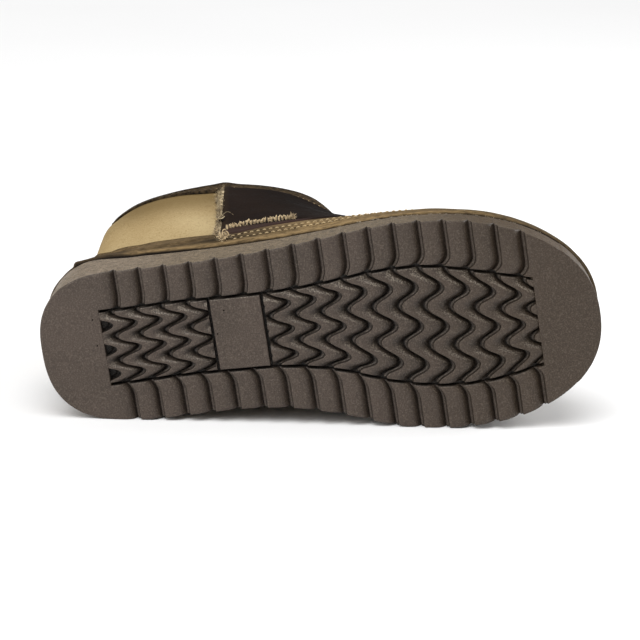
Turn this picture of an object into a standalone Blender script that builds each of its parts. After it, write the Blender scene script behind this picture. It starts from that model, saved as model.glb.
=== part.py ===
"""Slip-on winter boot, right foot, lying on its inner (medial) side.

Every piece is worked out in the shoe's own frame first, in millimetres:
x runs from the back of the heel to the toe, y to the medial side, z up from
the tread.  The last step lays the shoe on its medial side, on the sole's heel
edge, the sole's ball edge and the shaft, and writes metres.
"""
from math import pi, radians, sin, cos, tan

import bpy
import numpy as np

# ---------------------------------------------------------------- sizes, mm
SOLE_LENGTH = 262.0      # outsole, heel end to toe end
HEEL_HEIGHT = 34.0       # sole thickness under the heel
FORE_HEIGHT = 24.0       # sole thickness under the ball
RAMP_START = 60.0        # the top of the sole falls between these two x
RAMP_END = 170.0
WALL_TAPER = 1.6         # the sole's side wall leans in this much, floor to top
TOE_SPRING = 6.0         # lift of the tread at the toe end
SPRING_START = 205.0
LUG_PITCH = 12.0         # tread lugs, crest to crest
LUG_FIRST = 41.3         # first lug line on the sole's side
LUG_COUNT = 17
LUG_DEPTH = 4.5
LUG_SKEW = tan(radians(4.0))   # lug lines lean off square to the shoe's axis
HEEL_CURVE = 2.35        # exponents of the round heel and toe ends
TOE_CURVE = 2.12
FIELD_START = 29.5       # the waved field between the side lugs
FIELD_END = 233.3
WAVE_COUNT = 3           # waves across the field
WAVE_HEIGHT = 4.2        # half of a wave's swing along the shoe
GROOVE = 0.9             # half width of the groove around the field
PLATE_START = 82.2       # flat plate in the arch
PLATE_END = 105.7

UPPER_WALL = 4.2         # leather with its short fleece pile
GAP = 0.3                # between neighbouring pieces
SEAT = 0.45              # between the upper's facets and what is sewn over them
SEAT_INSET = 4.3         # foot of the upper, inside the sole's outline
FOXING = 1.8             # suede vamp and foxing
PANEL = 2.2              # leather panel around the front of the shaft
BINDING = 1.6            # folded suede around the collar
BINDING_DROP = 0.905     # lower edge of the binding, as a share of the rows
BINDING_INSIDE = 0.9525
INSOLE = 4.0
INSOLE_CLEAR = 0.9       # between the insole's edge and the upper's wall

COLUMNS = 48             # around the upper
OUTSIDE_ROWS = 18        # up the upper

# Sole outline: distance along the shoe and the two half widths.
OUTLINE_COLUMNS = ("station", "lateral", "medial", "groove_lateral", "groove_medial")
OUTLINE = (
    (29.5, 35.0, 35.2, 17.3, 18.4),
    (41.3, 36.1, 36.4, 17.9, 17.7),
    (65.3, 37.2, 35.6, 19.6, 15.9),
    (89.3, 38.9, 34.3, 20.4, 15.1),
    (113.3, 41.6, 35.4, 21.6, 14.9),
    (137.3, 45.2, 40.2, 24.4, 18.1),
    (161.3, 49.0, 47.0, 28.2, 25.0),
    (185.3, 50.4, 49.7, 29.0, 28.7),
    (209.3, 47.7, 47.2, 25.0, 27.4),
    (233.3, 40.0, 40.0, 19.6, 21.8),
)
FULL_WIDTH = 185.3       # the toe end starts its curve here
HEEL_JOIN = 41.3         # and the heel end here

# Upper: one row for each loop from the sole to the collar.  Each loop leans
# from its back point to its front point; s_max is where it is widest, the two
# exponents shape its back and front, and sole is how much of the sole's own
# outline it keeps.
UPPER_COLUMNS = ("x_back", "z_back", "x_front", "z_front", "lateral", "medial",
                 "s_max", "n_back", "n_front", "sole")
UPPER_ROWS = (
    (5.0, 34.3, 257.0, 29.1, 47.5, 47.0, .70, 2.30, 2.12, 1.00),
    (3.2, 44.0, 258.5, 37.0, 44.5, 45.5, .70, 2.30, 2.15, .90),
    (3.0, 54.0, 255.0, 47.0, 41.5, 43.5, .68, 2.30, 2.20, .62),
    (4.5, 64.0, 246.0, 57.0, 38.5, 41.0, .63, 2.30, 2.20, .28),
    (6.8, 75.0, 229.0, 66.5, 37.0, 39.5, .56, 2.30, 2.10, .06),
    (9.0, 87.0, 206.5, 76.5, 37.5, 39.0, .49, 2.30, 2.00, .00),
    (10.2, 100.0, 184.0, 88.5, 39.0, 39.5, .46, 2.20, 1.95, .00),
    (10.6, 113.0, 164.0, 102.5, 41.0, 40.5, .46, 2.15, 2.00, .00),
    (10.8, 127.0, 149.5, 119.5, 42.6, 41.5, .48, 2.10, 2.10, .00),
    (10.5, 140.0, 141.0, 138.5, 43.4, 42.0, .50, 2.05, 2.15, .00),
)

# Upper edge of the vamp and foxing, as a share of the rows, by the angle
# around the shoe: 0 is the back of the heel, 180 the toe.
FOXING_COLUMNS = ("angle", "share")
FOXING_EDGE = ((-25.0, .585), (0.0, .60), (25.0, .585), (37.0, .545), (47.0, .475), (57.0, .41),
               (66.0, .345), (73.0, .245), (80.0, .28), (90.0, .345), (97.5, .395), (115.0, .43),
               (135.0, .475), (150.0, .53), (166.0, .585), (180.0, .60), (194.0, .585))
SEAM_LOW = 83.0          # the front panel starts this far from the heel end, low on the shaft
SEAM_HIGH = 79.0         # and at the collar, on both sides

COLOURS = {              # sRGB, roughness
    "outsole": ((84, 74, 67), .80),
    "insole": ((176, 158, 126), .95),
    "upper": ((193, 170, 123), .85),
    "vamp_foxing": ((101, 82, 61), .92),
    "front_panel": ((46, 37, 32), .55),
    "collar_binding": ((74, 62, 47), .90),
}


# ---------------------------------------------------------------- curves
def smooth(x, xs, ys):
    """Cubic through the rows of a table, with central slopes."""
    xs, ys, x = (np.asarray(q, float) for q in (xs, ys, x))
    slope = np.gradient(ys, xs)
    i = np.clip(np.searchsorted(xs, x) - 1, 0, len(xs) - 2)
    h = xs[i + 1] - xs[i]
    t = np.clip((x - xs[i]) / h, 0, 1)
    return ((1 + 2 * t) * (1 - t) ** 2 * ys[i] + t * (1 - t) ** 2 * h * slope[i]
            + t * t * (3 - 2 * t) * ys[i + 1] + t * t * (t - 1) * h * slope[i + 1])


def ease(t):
    t = np.clip(t, 0, 1)
    return t * t * (3 - 2 * t)


OUT = np.array(OUTLINE)


def sole_half(station, side):
    """Half width of the tread at a station; side is -1 lateral, +1 medial."""
    station = np.clip(np.asarray(station, float), 0, SOLE_LENGTH)
    col = OUT[:, 1 if side < 0 else 2]
    full = smooth(FULL_WIDTH, OUT[:, 0], col)
    join = smooth(HEEL_JOIN, OUT[:, 0], col)
    back = (HEEL_JOIN - np.minimum(station, HEEL_JOIN)) / HEEL_JOIN
    front = (np.maximum(station, FULL_WIDTH) - FULL_WIDTH) / (SOLE_LENGTH - FULL_WIDTH)
    heel = join * np.maximum(0, 1 - back ** HEEL_CURVE) ** (1 / HEEL_CURVE)
    toe = full * np.maximum(0, 1 - front ** TOE_CURVE) ** (1 / TOE_CURVE)
    mid = smooth(np.clip(station, HEEL_JOIN, FULL_WIDTH), OUT[:, 0], col)
    return np.where(station < HEEL_JOIN, heel, np.where(station > FULL_WIDTH, toe, mid))


def spring(x):
    t = np.maximum(0, np.asarray(x, float) - SPRING_START) / (SOLE_LENGTH - SPRING_START)
    return TOE_SPRING * t ** 2


def sole_top(x):
    return (HEEL_HEIGHT + (FORE_HEIGHT - HEEL_HEIGHT)
            * ease((np.asarray(x, float) - RAMP_START) / (RAMP_END - RAMP_START))
            + 0.8 * spring(x))


def inset(x, y, d):
    """Draw a point of the sole's outline in by about d."""
    return (d + x * (1 - 2 * d / SOLE_LENGTH), y * (1 - d / 43.0))


# ---------------------------------------------------------------- upper's skin
ROWS = np.array(UPPER_ROWS)
ROW_SHARE = np.arange(len(ROWS)) / (len(ROWS) - 1)


def skin(angle, share):
    """Point of the upper's outer face: angle 0 heel, pi toe, 0..pi medial."""
    angle, share = np.broadcast_arrays(np.asarray(angle, float), np.asarray(share, float))
    (xb, zb, xf, zf, wl, wm, sm, nb, nf, keep) = (
        smooth(share, ROW_SHARE, ROWS[:, j]) for j in range(ROWS.shape[1]))
    s = (1 - np.cos(angle)) / 2
    medial = np.sin(angle) >= 0
    width = np.where(medial, wm, wl)
    off = np.where(s < sm, (sm - s) / sm, (s - sm) / (1 - sm))
    n = np.where(s < sm, nb, nf)
    egg = width * np.maximum(0, 1 - off ** n) ** (1 / n)
    station = s * SOLE_LENGTH
    foot = np.where(medial, sole_half(station, 1), sole_half(station, -1)) * (1 - SEAT_INSET / 43.0)
    y = np.where(medial, 1, -1) * (keep * foot + (1 - keep) * egg)
    x = xb + (xf - xb) * s + keep * LUG_SKEW * y
    line = ROWS[0, 1] + (ROWS[0, 3] - ROWS[0, 1]) * s
    z = zb + (zf - zb) * s + keep * (sole_top(x) + SEAT - line)
    return np.stack([x, y, z], -1)


def outward(angle, share):
    """Unit normal of the skin, level at the foot and at the collar."""
    h = 2e-3
    angle, share = np.broadcast_arrays(np.asarray(angle, float), np.asarray(share, float))
    du = skin(angle + h, share) - skin(angle - h, share)
    dv = skin(angle, np.minimum(share + h, 1)) - skin(angle, np.maximum(share - h, 0))
    n = np.cross(dv, du)
    n /= np.linalg.norm(n, axis=-1, keepdims=True)
    level = ease(share / 0.09) * ease((1 - share) / 0.06)
    n[..., 2] *= level
    return n / np.linalg.norm(n, axis=-1, keepdims=True)


def shell(angle, share, d):
    """The skin moved out by d, its foot kept level with the top of the sole."""
    base = skin(angle, share)
    p = base + d * outward(angle, share)
    p[..., 2] += ease(1 - share / 0.09) * (sole_top(p[..., 0]) - sole_top(base[..., 0]))
    return p


def foxing_edge(angle):
    a = np.degrees(np.arccos(np.cos(np.asarray(angle, float))))
    t = np.array(FOXING_EDGE)
    return smooth(a, t[:, 0], t[:, 1])


# ---------------------------------------------------------------- mesh makers
class Mesh:
    """Vertices and faces of one closed piece, in shoe millimetres."""

    def __init__(self):
        self.v, self.f = [], []

    def grid(self, points):
        """Add an array of points (rows, columns, 3) and return their indices."""
        rows, cols = points.shape[:2]
        first = len(self.v)
        self.v.extend(points.reshape(-1, 3).tolist())
        return first + np.arange(rows * cols).reshape(rows, cols)

    def skin_grid(self, idx, flip=False):
        for a, b in zip(idx[:-1], idx[1:]):
            self.band(a, b, flip)

    def band(self, a, b, flip=False):
        for i in range(len(a) - 1):
            q = (int(a[i]), int(a[i + 1]), int(b[i + 1]), int(b[i]))
            self.f.append(q[::-1] if flip else q)


    def facing_out(self):
        """Faces turned so that the enclosed volume is positive."""
        v = np.array(self.v)
        total = sum(float(np.dot(v[f[0]], np.cross(v[f[i]], v[f[i + 1]])))
                    for f in self.f for i in range(1, len(f) - 1))
        return [list(f) if total > 0 else list(f)[::-1] for f in self.f]


def closed(idx):
    """Repeat the first column so a band closes into a ring."""
    return np.concatenate([idx, idx[:, :1]], 1)


def ring_solid(inner, outer):
    """Closed ring between two loops grids (rows from bottom to top)."""
    m = Mesh()
    o, i = closed(m.grid(outer)), closed(m.grid(inner))
    m.skin_grid(o)
    m.skin_grid(i, True)
    m.band(o[-1], i[-1])
    m.band(i[0], o[0])
    return m


def patch_solid(inner, outer):
    """Closed plate between two open grids."""
    m = Mesh()
    o, i = m.grid(outer), m.grid(inner)
    m.skin_grid(o)
    m.skin_grid(i, True)
    m.band(o[-1], i[-1])
    m.band(i[0], o[0])
    m.band(o[:, 0], i[:, 0])
    m.band(i[:, -1], o[:, -1])
    return m


ANGLES = np.arange(COLUMNS) * 2 * pi / COLUMNS


def rows_between(low, high, count):
    """Shares from low to high for every column: array (count, columns)."""
    t = np.linspace(0, 1, count)[:, None]
    return low + (high - low) * t


def make_upper():
    low = rows_between(np.zeros(COLUMNS), np.full(COLUMNS, BINDING_DROP), OUTSIDE_ROWS - 2)
    top = rows_between(np.full(COLUMNS, BINDING_DROP), np.ones(COLUMNS), 3)
    share = np.concatenate([low, top[1:]])
    angle = np.broadcast_to(ANGLES, share.shape)
    return ring_solid(shell(angle, share, -UPPER_WALL), shell(angle, share, 0.0))


def make_foxing():
    share = rows_between(np.zeros(COLUMNS), foxing_edge(ANGLES), 13)
    angle = np.broadcast_to(ANGLES, share.shape)
    return ring_solid(shell(angle, share, SEAT), shell(angle, share, SEAT + FOXING))


def seam_angle(share):
    """Angle where the shaft's side seam crosses a row."""
    xb, xf = (smooth(share, ROW_SHARE, ROWS[:, j]) for j in (0, 2))
    seam = SEAM_LOW + (SEAM_HIGH - SEAM_LOW) * (share - 0.3) / 0.7
    return np.arccos(1 - 2 * (seam - xb) / (xf - xb))


def make_front_panel():
    across = np.linspace(-1, 1, 33)
    low = np.full(len(across), 0.3)
    edge = foxing_edge(ANGLES)
    for _ in range(8):                             # its foot runs along the foxing's edge
        low = np.interp(pi + across * (pi - seam_angle(low)), ANGLES, edge) + 0.016
    share = rows_between(low, np.full(len(across), BINDING_DROP - 0.006), 9)
    angle = pi + across * (pi - seam_angle(share))
    return patch_solid(shell(angle, share, SEAT), shell(angle, share, SEAT + PANEL))


def make_binding():
    low, inside = np.full(COLUMNS, BINDING_DROP), np.full(COLUMNS, BINDING_INSIDE)
    up = rows_between(low, np.ones(COLUMNS), 3)
    down = rows_between(np.ones(COLUMNS), inside, 2)
    a3, a2 = np.broadcast_to(ANGLES, up.shape), np.broadcast_to(ANGLES, down.shape)
    lift = np.array([0, 0, GAP])
    crown = np.array([0, 0, GAP + BINDING])
    near_out = shell(a3, up, GAP)
    far_out = shell(a3, up, GAP + BINDING)
    near_in = shell(a2, down, -UPPER_WALL - GAP)
    far_in = shell(a2, down, -UPPER_WALL - GAP - BINDING)
    near_out[-1] += lift
    near_in[0] += lift
    far_out[-1] += crown * 0.55
    far_in[0] += crown * 0.55
    top = (far_out[-1:] + far_in[:1]) / 2
    top[..., 2] = near_out[-1:, :, 2] + BINDING
    far = np.concatenate([far_out, top, far_in])
    mid = (near_out[-1:] + near_in[:1]) / 2
    near = np.concatenate([near_out, mid, near_in])
    return ring_solid(near, far)


def make_insole():
    d = UPPER_WALL + INSOLE_CLEAR
    share = np.array([0.004, 0.04])[:, None] * np.ones(COLUMNS)
    angle = np.broadcast_to(ANGLES, share.shape)
    edge = shell(angle, np.zeros_like(share), -d)
    edge[..., 2] = sole_top(edge[..., 0]) + GAP
    edge[1, :, 2] += INSOLE
    m = Mesh()
    idx = closed(m.grid(edge))
    m.skin_grid(idx)
    half = COLUMNS // 2
    for row, flip in ((idx[0], True), (idx[1], False)):
        near = row[:half + 1]                      # medial side, heel to toe
        far = row[half:][::-1]                     # lateral side, heel to toe
        for i in range(half):
            loop = [near[i], near[i + 1], far[i + 1], far[i]]
            loop = [int(q) for q in dict.fromkeys(loop)]
            m.f.append(loop if not flip else loop[::-1])
    return m


# ---------------------------------------------------------------- outsole
LUG_PHASE = ((0.0, 0.0), (0.5, 0.3), (0.88, LUG_DEPTH))   # along a pitch: share, depth


def groove_at(station, side):
    return smooth(station, OUT[:, 0], OUT[:, 3 if side < 0 else 4])


def field_swing(station):
    """How far the waves swing: none at the ends of the field and by the plate."""
    ends = np.minimum(station - FIELD_START, FIELD_END - station)
    plate = np.maximum(PLATE_START - station, station - PLATE_END)
    return WAVE_HEIGHT * ease(ends / LUG_PITCH) * ease(plate / LUG_PITCH + 0.15)


def make_outsole():
    waves = np.linspace(0, 1, 4 * WAVE_COUNT + 1)
    cols = 3 + len(waves) + 3
    lines = []
    for k in range(-1, LUG_COUNT - 1):
        for share, depth in LUG_PHASE:
            lines.append((LUG_FIRST + LUG_PITCH * (k + share), depth, k))
    lines.append((FIELD_END, 0.0, LUG_COUNT - 1))
    body = np.zeros((len(lines), cols, 3))
    for r, (station, depth, k) in enumerate(lines):
        lat, med = float(sole_half(station, -1)), float(sole_half(station, 1))
        gl, gm = float(groove_at(station, -1)), float(groove_at(station, 1))
        y = np.concatenate([[-lat, -gl - GROOVE, -gl],
                            -gl + GROOVE + (gm + gl - 2 * GROOVE) * waves,
                            [gm, gm + GROOVE, med]])
        shift = np.zeros(cols)
        shift[3:-3] = -field_swing(station) * np.cos(2 * pi * WAVE_COUNT * waves)
        z = np.full(cols, depth)
        inside = 0 < r < len(lines) - 1
        if PLATE_START < station < PLATE_END:
            z[3:-3] = 0.0
        if inside:
            z[2] = z[-3] = LUG_DEPTH + 0.4
        x = station + shift + LUG_SKEW * y
        body[r] = np.stack([x, y, z + spring(x)], 1)
    turn = np.linspace(-1, 1, cols) * pi / 2

    def end_arc(base, tip, curve, share):
        """Station line blended from the straight line at base to the round end."""
        at_toe = tip > base
        y0 = body[-1 if at_toe else 0][:, 1]
        centre = FULL_WIDTH if at_toe else HEEL_JOIN
        corner = base + (tip - base) * 0.5
        side = np.where(turn < 0, -1, 1)
        most = np.where(turn < 0, sole_half(corner, -1), sole_half(corner, 1))
        y = np.sin(turn) * most
        wide = np.where(turn < 0, sole_half(centre, -1), sole_half(centre, 1))
        s = np.maximum(0, 1 - (np.abs(y) / wide) ** curve) ** (1 / curve)
        far = centre + (tip - centre) * s
        station = base + (far - base) * share
        y = y0 + (y - y0) * share
        for end in (0, -1):
            station[end] = base + (corner - base) * share
            y[end] = side[end] * float(sole_half(station[end], side[end]))
        x = station + LUG_SKEW * y
        return np.stack([x, y, spring(x)], 1)

    heel = [end_arc(FIELD_START, 0.0, HEEL_CURVE, q) for q in (1.0, 0.55)]
    toe = [end_arc(FIELD_END, SOLE_LENGTH, TOE_CURVE, q) for q in (0.35, 0.7, 1.0)]
    bottom = np.array(heel + list(body) + toe)
    m = Mesh()
    b = m.grid(bottom)
    m.skin_grid(b)
    rim = np.concatenate([b[0, :], b[1:, -1], b[-1, -2::-1], b[-2:0:-1, 0]])
    pts = np.array(m.v)[rim]
    x, y = inset(pts[:, 0], pts[:, 1], WALL_TAPER)
    t = m.grid(np.stack([x, y, sole_top(x)], 1)[None])[0]
    loop = np.concatenate([rim, rim[:1]])
    top = np.concatenate([t, t[:1]])
    m.band(loop, top, True)
    rows = b.shape[0]
    heel_top, med_top = t[:cols], t[cols - 1:cols - 1 + rows]
    toe_top = t[cols + rows - 2:2 * cols + rows - 2]
    lat_top = np.concatenate([t[:1], t[2 * cols + rows - 3:][::-1]])
    # across the top: a strip between each pair of stations, and half fans at the ends
    for i in range(1, rows - 2):
        m.f.append((int(lat_top[i]), int(lat_top[i + 1]), int(med_top[i + 1]), int(med_top[i])))
    m.f.append([int(lat_top[1]), int(med_top[1])] + [int(q) for q in heel_top[::-1]])
    m.f.append([int(med_top[-2]), int(lat_top[-2])] + [int(q) for q in toe_top[::-1]])
    return m


# ---------------------------------------------------------------- lay it down
def lying(beta, gamma):
    """Shoe frame to world: medial side down, toe to +X, collar to +Y."""
    base = np.array([[1, 0, 0], [0, 0, 1], [0, -1, 0]], float)
    cg, sg, cb, sb = cos(gamma), sin(gamma), cos(beta), sin(beta)
    lean = np.array([[1, 0, 0], [0, cg, -sg], [0, sg, cg]])
    tilt = np.array([[cb, 0, -sb], [0, 1, 0], [sb, 0, cb]])
    return tilt @ lean @ base


def settle(pieces):
    """Turn the shoe until heel edge, ball edge and shaft are on one floor."""
    sole = np.array(pieces["outsole"].v)
    rest = np.concatenate([np.array(m.v) for n, m in pieces.items() if n != "outsole"])
    heel, ball, shaft = sole[sole[:, 0] < 100], sole[sole[:, 0] > 100], rest[rest[:, 2] > 80]
    beta = gamma = 0.0
    for _ in range(40):
        r = lying(beta, gamma)
        low = [(p @ r.T)[:, 2] for p in (heel, ball, shaft)]
        h, b, s = (float(q.min()) for q in low)
        beta += (h - b) / 155.0 * 0.8
        gamma += ((h + b) / 2 - s) / 110.0 * 0.8
    r = lying(beta, gamma)
    every = np.concatenate([sole, rest]) @ r.T
    shift = -np.array([(every[:, 0].min() + every[:, 0].max()) / 2,
                       (every[:, 1].min() + every[:, 1].max()) / 2, every[:, 2].min()])
    return r, shift


def linear(c):
    c /= 255.0
    return c / 12.92 if c <= 0.04045 else ((c + 0.055) / 1.055) ** 2.4


def finish(name):
    (r, g, b), rough = COLOURS[name]
    mat = bpy.data.materials.new(name)
    mat.use_nodes = True
    sh = mat.node_tree.nodes["Principled BSDF"]
    sh.inputs["Base Color"].default_value = (linear(r), linear(g), linear(b), 1)
    sh.inputs["Roughness"].default_value = rough
    sh.inputs["Metallic"].default_value = 0.0
    return mat


def main():
    for ob in list(bpy.data.objects):
        bpy.data.objects.remove(ob, do_unlink=True)
    home = bpy.data.collections.new("slip_on_winter_boot")
    bpy.context.scene.collection.children.link(home)
    pieces = {"outsole": make_outsole(), "insole": make_insole(), "upper": make_upper(),
              "vamp_foxing": make_foxing(), "front_panel": make_front_panel(),
              "collar_binding": make_binding()}
    turn, shift = settle(pieces)
    for name, m in pieces.items():
        v = (np.array(m.v) @ turn.T + shift) * 0.001
        me = bpy.data.meshes.new(name)
        me.from_pydata(v.tolist(), [], m.facing_out())
        me.validate()
        me.update()
        me.shade_smooth()
        me.set_sharp_from_angle(angle=radians(40))
        me.materials.append(finish(name))
        ob = bpy.data.objects.new(name, me)
        home.objects.link(ob)


main()
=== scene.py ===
"""Looks of a slip-on winter boot, right foot, lying on its inner side.

Every piece is worked out in the shoe's own frame, in millimetres, as in the
solid model: x from the back of the heel to the toe, y to the medial side, z up
from the tread.  The shoe is then laid on its medial side and written in metres.
Angles go around the upper: 0 the back of the heel, 180 the toe, 0 to 180 the
medial side.  A share runs from the sole (0) to the collar (1).
"""
from math import pi, radians, sin, cos, tan

import bpy
import bmesh
import numpy as np
from mathutils import Matrix, Vector


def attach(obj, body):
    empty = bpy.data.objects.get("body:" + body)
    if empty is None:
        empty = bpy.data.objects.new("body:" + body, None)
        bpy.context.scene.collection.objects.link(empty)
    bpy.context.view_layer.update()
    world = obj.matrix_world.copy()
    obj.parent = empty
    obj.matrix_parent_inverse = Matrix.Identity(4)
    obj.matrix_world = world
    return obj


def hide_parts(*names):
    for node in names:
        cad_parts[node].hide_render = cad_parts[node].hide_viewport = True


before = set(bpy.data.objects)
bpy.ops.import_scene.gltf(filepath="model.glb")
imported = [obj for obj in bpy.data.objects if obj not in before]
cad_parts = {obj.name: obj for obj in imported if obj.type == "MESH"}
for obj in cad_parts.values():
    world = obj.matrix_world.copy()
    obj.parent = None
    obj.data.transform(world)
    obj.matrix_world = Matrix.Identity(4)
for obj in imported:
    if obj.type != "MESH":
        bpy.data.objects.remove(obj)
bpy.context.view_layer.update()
RNG = np.random.default_rng(20)

# ---------------------------------------------------------------- the shoe's own sizes, mm
SOLE_LENGTH, HEEL_HEIGHT, FORE_HEIGHT = 262.0, 34.0, 24.0
RAMP_START, RAMP_END = 60.0, 170.0
WALL_TAPER = 1.6
TOE_SPRING, SPRING_START = 6.0, 205.0
LUG_PITCH, LUG_FIRST, LUG_DEPTH = 12.0, 41.3, 4.5
LUG_SKEW = tan(radians(4.0))
HEEL_CURVE, TOE_CURVE = (2.42, 2.68), (2.20, 2.27)                  # lateral, medial
TOE_FULL, HEEL_FULL = 0.5, 0.3
FIELD_START, FIELD_END = 29.5, 233.3
PLATE_LOW, PLATE_START, PLATE_END, PLATE_HIGH = 80.7, 82.1, 105.8, 107.3
GROOVE, GROOVE_FLOOR = 0.7, 5.0
UPPER_WALL, SEAT, SEAT_INSET = 4.2, 0.45, 4.3
FOXING, PANEL, BINDING = 1.8, 2.2, 1.6
BINDING_INSIDE = 0.9525
FULL_WIDTH, HEEL_JOIN = 185.3, 41.3
SEAM_LOW, SEAM_HIGH = 83.0, 79.0

# station, lateral and medial half widths, the same for the field's grooves
OUTLINE = np.array((
    (29.5, 35.0, 35.2, 17.3, 18.4), (41.3, 36.1, 36.4, 17.9, 17.7), (65.3, 37.2, 35.6, 19.6, 15.9),
    (89.3, 38.9, 34.3, 20.4, 15.1), (113.3, 41.6, 35.4, 21.6, 14.9), (137.3, 45.2, 40.2, 24.4, 18.1),
    (161.3, 49.0, 47.0, 28.2, 25.0), (185.3, 50.4, 49.7, 29.0, 28.7), (209.3, 47.7, 47.2, 25.0, 27.4),
    (233.3, 40.0, 40.0, 19.6, 21.8)))
# x_back, z_back, x_front, z_front, lateral, medial, s_max, n_back, n_front, sole
ROWS = np.array((
    (5.0, 34.3, 257.0, 29.1, 47.5, 47.0, .70, 2.30, 2.12, 1.00),
    (3.2, 44.0, 258.5, 37.0, 44.5, 45.5, .70, 2.30, 2.15, .90),
    (3.0, 54.0, 255.0, 47.0, 41.5, 43.5, .68, 2.30, 2.20, .62),
    (4.5, 64.0, 246.0, 57.0, 38.5, 41.0, .63, 2.30, 2.20, .28),
    (6.8, 75.0, 229.0, 66.5, 37.0, 39.5, .56, 2.30, 2.10, .06),
    (9.0, 87.0, 206.5, 76.5, 37.5, 39.0, .49, 2.30, 2.00, .00),
    (10.2, 100.0, 184.0, 88.5, 39.0, 39.5, .46, 2.20, 1.95, .00),
    (10.6, 113.0, 164.0, 102.5, 41.0, 40.5, .46, 2.15, 2.00, .00),
    (10.8, 127.0, 149.5, 119.5, 42.6, 41.5, .48, 2.10, 2.10, .00),
    (10.5, 140.0, 141.0, 138.5, 43.4, 42.0, .50, 2.05, 2.15, .00)))
ROW_SHARE = np.arange(len(ROWS)) / (len(ROWS) - 1)
# upper edge of the suede foxing: angle from the heel, share
FOXING_EDGE = np.array((
    (-25.0, .60), (0.0, .61), (20.0, .608), (27.0, .590), (31.0, .545), (34.5, .520), (39.0, .507), (43.0, .488), (47.0, .462),
    (52.5, .442), (59.0, .398), (64.0, .368), (68.5, .318), (73.0, .245), (78.0, .290), (82.0, .335), (88.0, .378), (94.0, .420), (105.0, .450), (120.0, .470),
    (135.0, .495), (150.0, .535), (166.0, .585), (180.0, .60), (194.0, .585)))
# the two rows of stitches on it: angle from the heel, share of the first row, of the second row
STITCH_ROWS = np.array((
    (66.0, .150, .095), (70.0, .176, .115), (72.6, .190, .127), (75.0, .207, .139), (78.5, .221, .152), (82.4, .226, .160),
    (86.3, .229, .164), (94.0, .246, .175), (105.0, .295, .220), (120.0, .365, .290), (135.0, .425, .355),
    (150.0, .480, .415), (166.0, .535, .472), (180.0, .550, .488), (194.0, .535, .472)))
# frayed slit on the front panel, each side: angle, share
TUFT_LINE = np.array(((71.6, .376), (73.6, .398), (75.7, .414), (78.6, .427), (82.0, .440), (85.6, .446), (89.8, .455), (92.0, .449)))
# how much fuller the shaft is than an even curve, below the collar and at the collar: angle from the heel, millimetres
SHAFT_FULL = np.array(((-8.0, .8, .3), (0.0, .8, .3), (8.0, 1.2, .4), (15.0, 2.0, .6), (20.0, 2.6, .9), (26.0, 3.6, 1.6), (30.0, 4.5, 2.3), (34.0, 5.0, 3.0),
                       (38.5, 4.5, 3.1), (44.0, 3.4, 2.8), (50.0, 2.6, 2.3), (58.0, 1.7, 1.42), (65.0, .75, .52), (72.0, .1, -.22), (79.0, -.3, -.6),
                       (86.0, -.3, -.45), (106.0, .0, -.2), (120.0, .4, .35), (127.6, .8, .85), (135.8, .8, 1.0), (141.0, .3, .6), (145.0, .0, .1),
                       (150.0, -.2, -.4), (160.0, -.1, -.3), (180.0, .0, .0), (190.0, .0, .0)))
# lower edge of the collar binding: angle from the heel, share, how much of its thickness
BINDING_EDGE = np.array(((-8.0, .950, .5), (0.0, .950, .5), (20.0, .957, .4), (34.0, .969, .5), (38.0, .974, .6), (44.0, .978, .65), (50.0, .978, .8), (57.0, .974, .87),
                         (64.5, .967, .93), (71.5, .959, 1.0), (78.0, .942, 1.0), (84.0, .928, 1.0), (95.0, .920, 1.0), (112.5, .914, 1.0), (123.0, .900, 1.0),
                         (128.0, .886, 1.0), (135.0, .873, 1.0), (142.0, .866, 1.0), (150.0, .870, 1.0), (165.0, .886, 1.0), (180.0, .890, 1.0), (190.0, .889, 1.0)))
# along the pitch: share, depth in the waved field, depth on the side lugs, painted shade in the field, painted shade on
# the side lugs (on the shoulders and in the valleys)
LUG_PROFILE = np.array((
    (0, .34, .34, .95, .85), (.008, .14, .14, .30, .25), (.022, .04, .04, 0, 0), (.05, 0, 0, 0, 0), (.16, .03, .02, 0, 0),
    (.27, .10, .07, .08, 0), (.36, .22, .15, .20, .02), (.44, .42, .28, .31, .04), (.51, .70, .47, .43, .06), (.575, 1.08, .74, .55, .08),
    (.63, 1.55, 1.10, .66, .11), (.68, 2.15, 1.60, .77, .15), (.725, 2.85, 2.20, .88, .22), (.765, 3.60, 2.90, .96, .32),
    (.795, 4.20, 3.60, 1, .46), (.82, 4.48, 4.20, 1, .60), (.84, 4.5, 4.45, 1, .66), (.862, 4.5, 4.5, 1, .62), (.872, 3.6, 3.6, .82, .45),
    (.882, 2.75, 2.75, .60, .24), (.925, 2.60, 2.60, .54, .22), (.952, 2.50, 2.50, .72, .45), (.972, 2.2, 2.2, 1, .95), (.988, 1.3, 1.3, 1, .98)))
# waves of the field: station, how far they run ahead of the lugs, height, count across, start
WAVES = np.array((
    (24.0, .8, 5.4, 2.91, .034), (42.0, .7, 5.4, 2.91, .036), (66.0, .5, 5.2, 2.90, .044), (80.0, .6, 5.1, 2.90, .040),
    (115.0, 2.2, 4.85, 2.91, .0), (134.0, 2.4, 4.75, 2.93, .003), (158.0, 2.5, 4.7, 3.0, .0), (182.0, 2.35, 4.68, 2.95, .005),
    (206.0, 2.05, 4.65, 2.94, .012), (222.0, 1.8, 4.6, 2.98, .022), (242.0, 1.5, 4.6, 2.98, .025)))
# the lugs aren't spaced quite evenly: station, millimetres
LUG_DRIFT = np.array((
    (24.0, .0), (29.3, .0), (41.3, -.4), (59.0, -.8), (71.0, -.7), (83.0, -.35), (95.0, .0), (107.0, .25), (119.0, .6), (131.0, .75),
    (143.0, .9), (155.0, .75), (167.0, .5), (179.0, .2), (191.0, .0), (203.0, -.3), (215.0, -.55), (227.0, -.85), (234.0, -.75), (242.0, -.3)))
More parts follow.
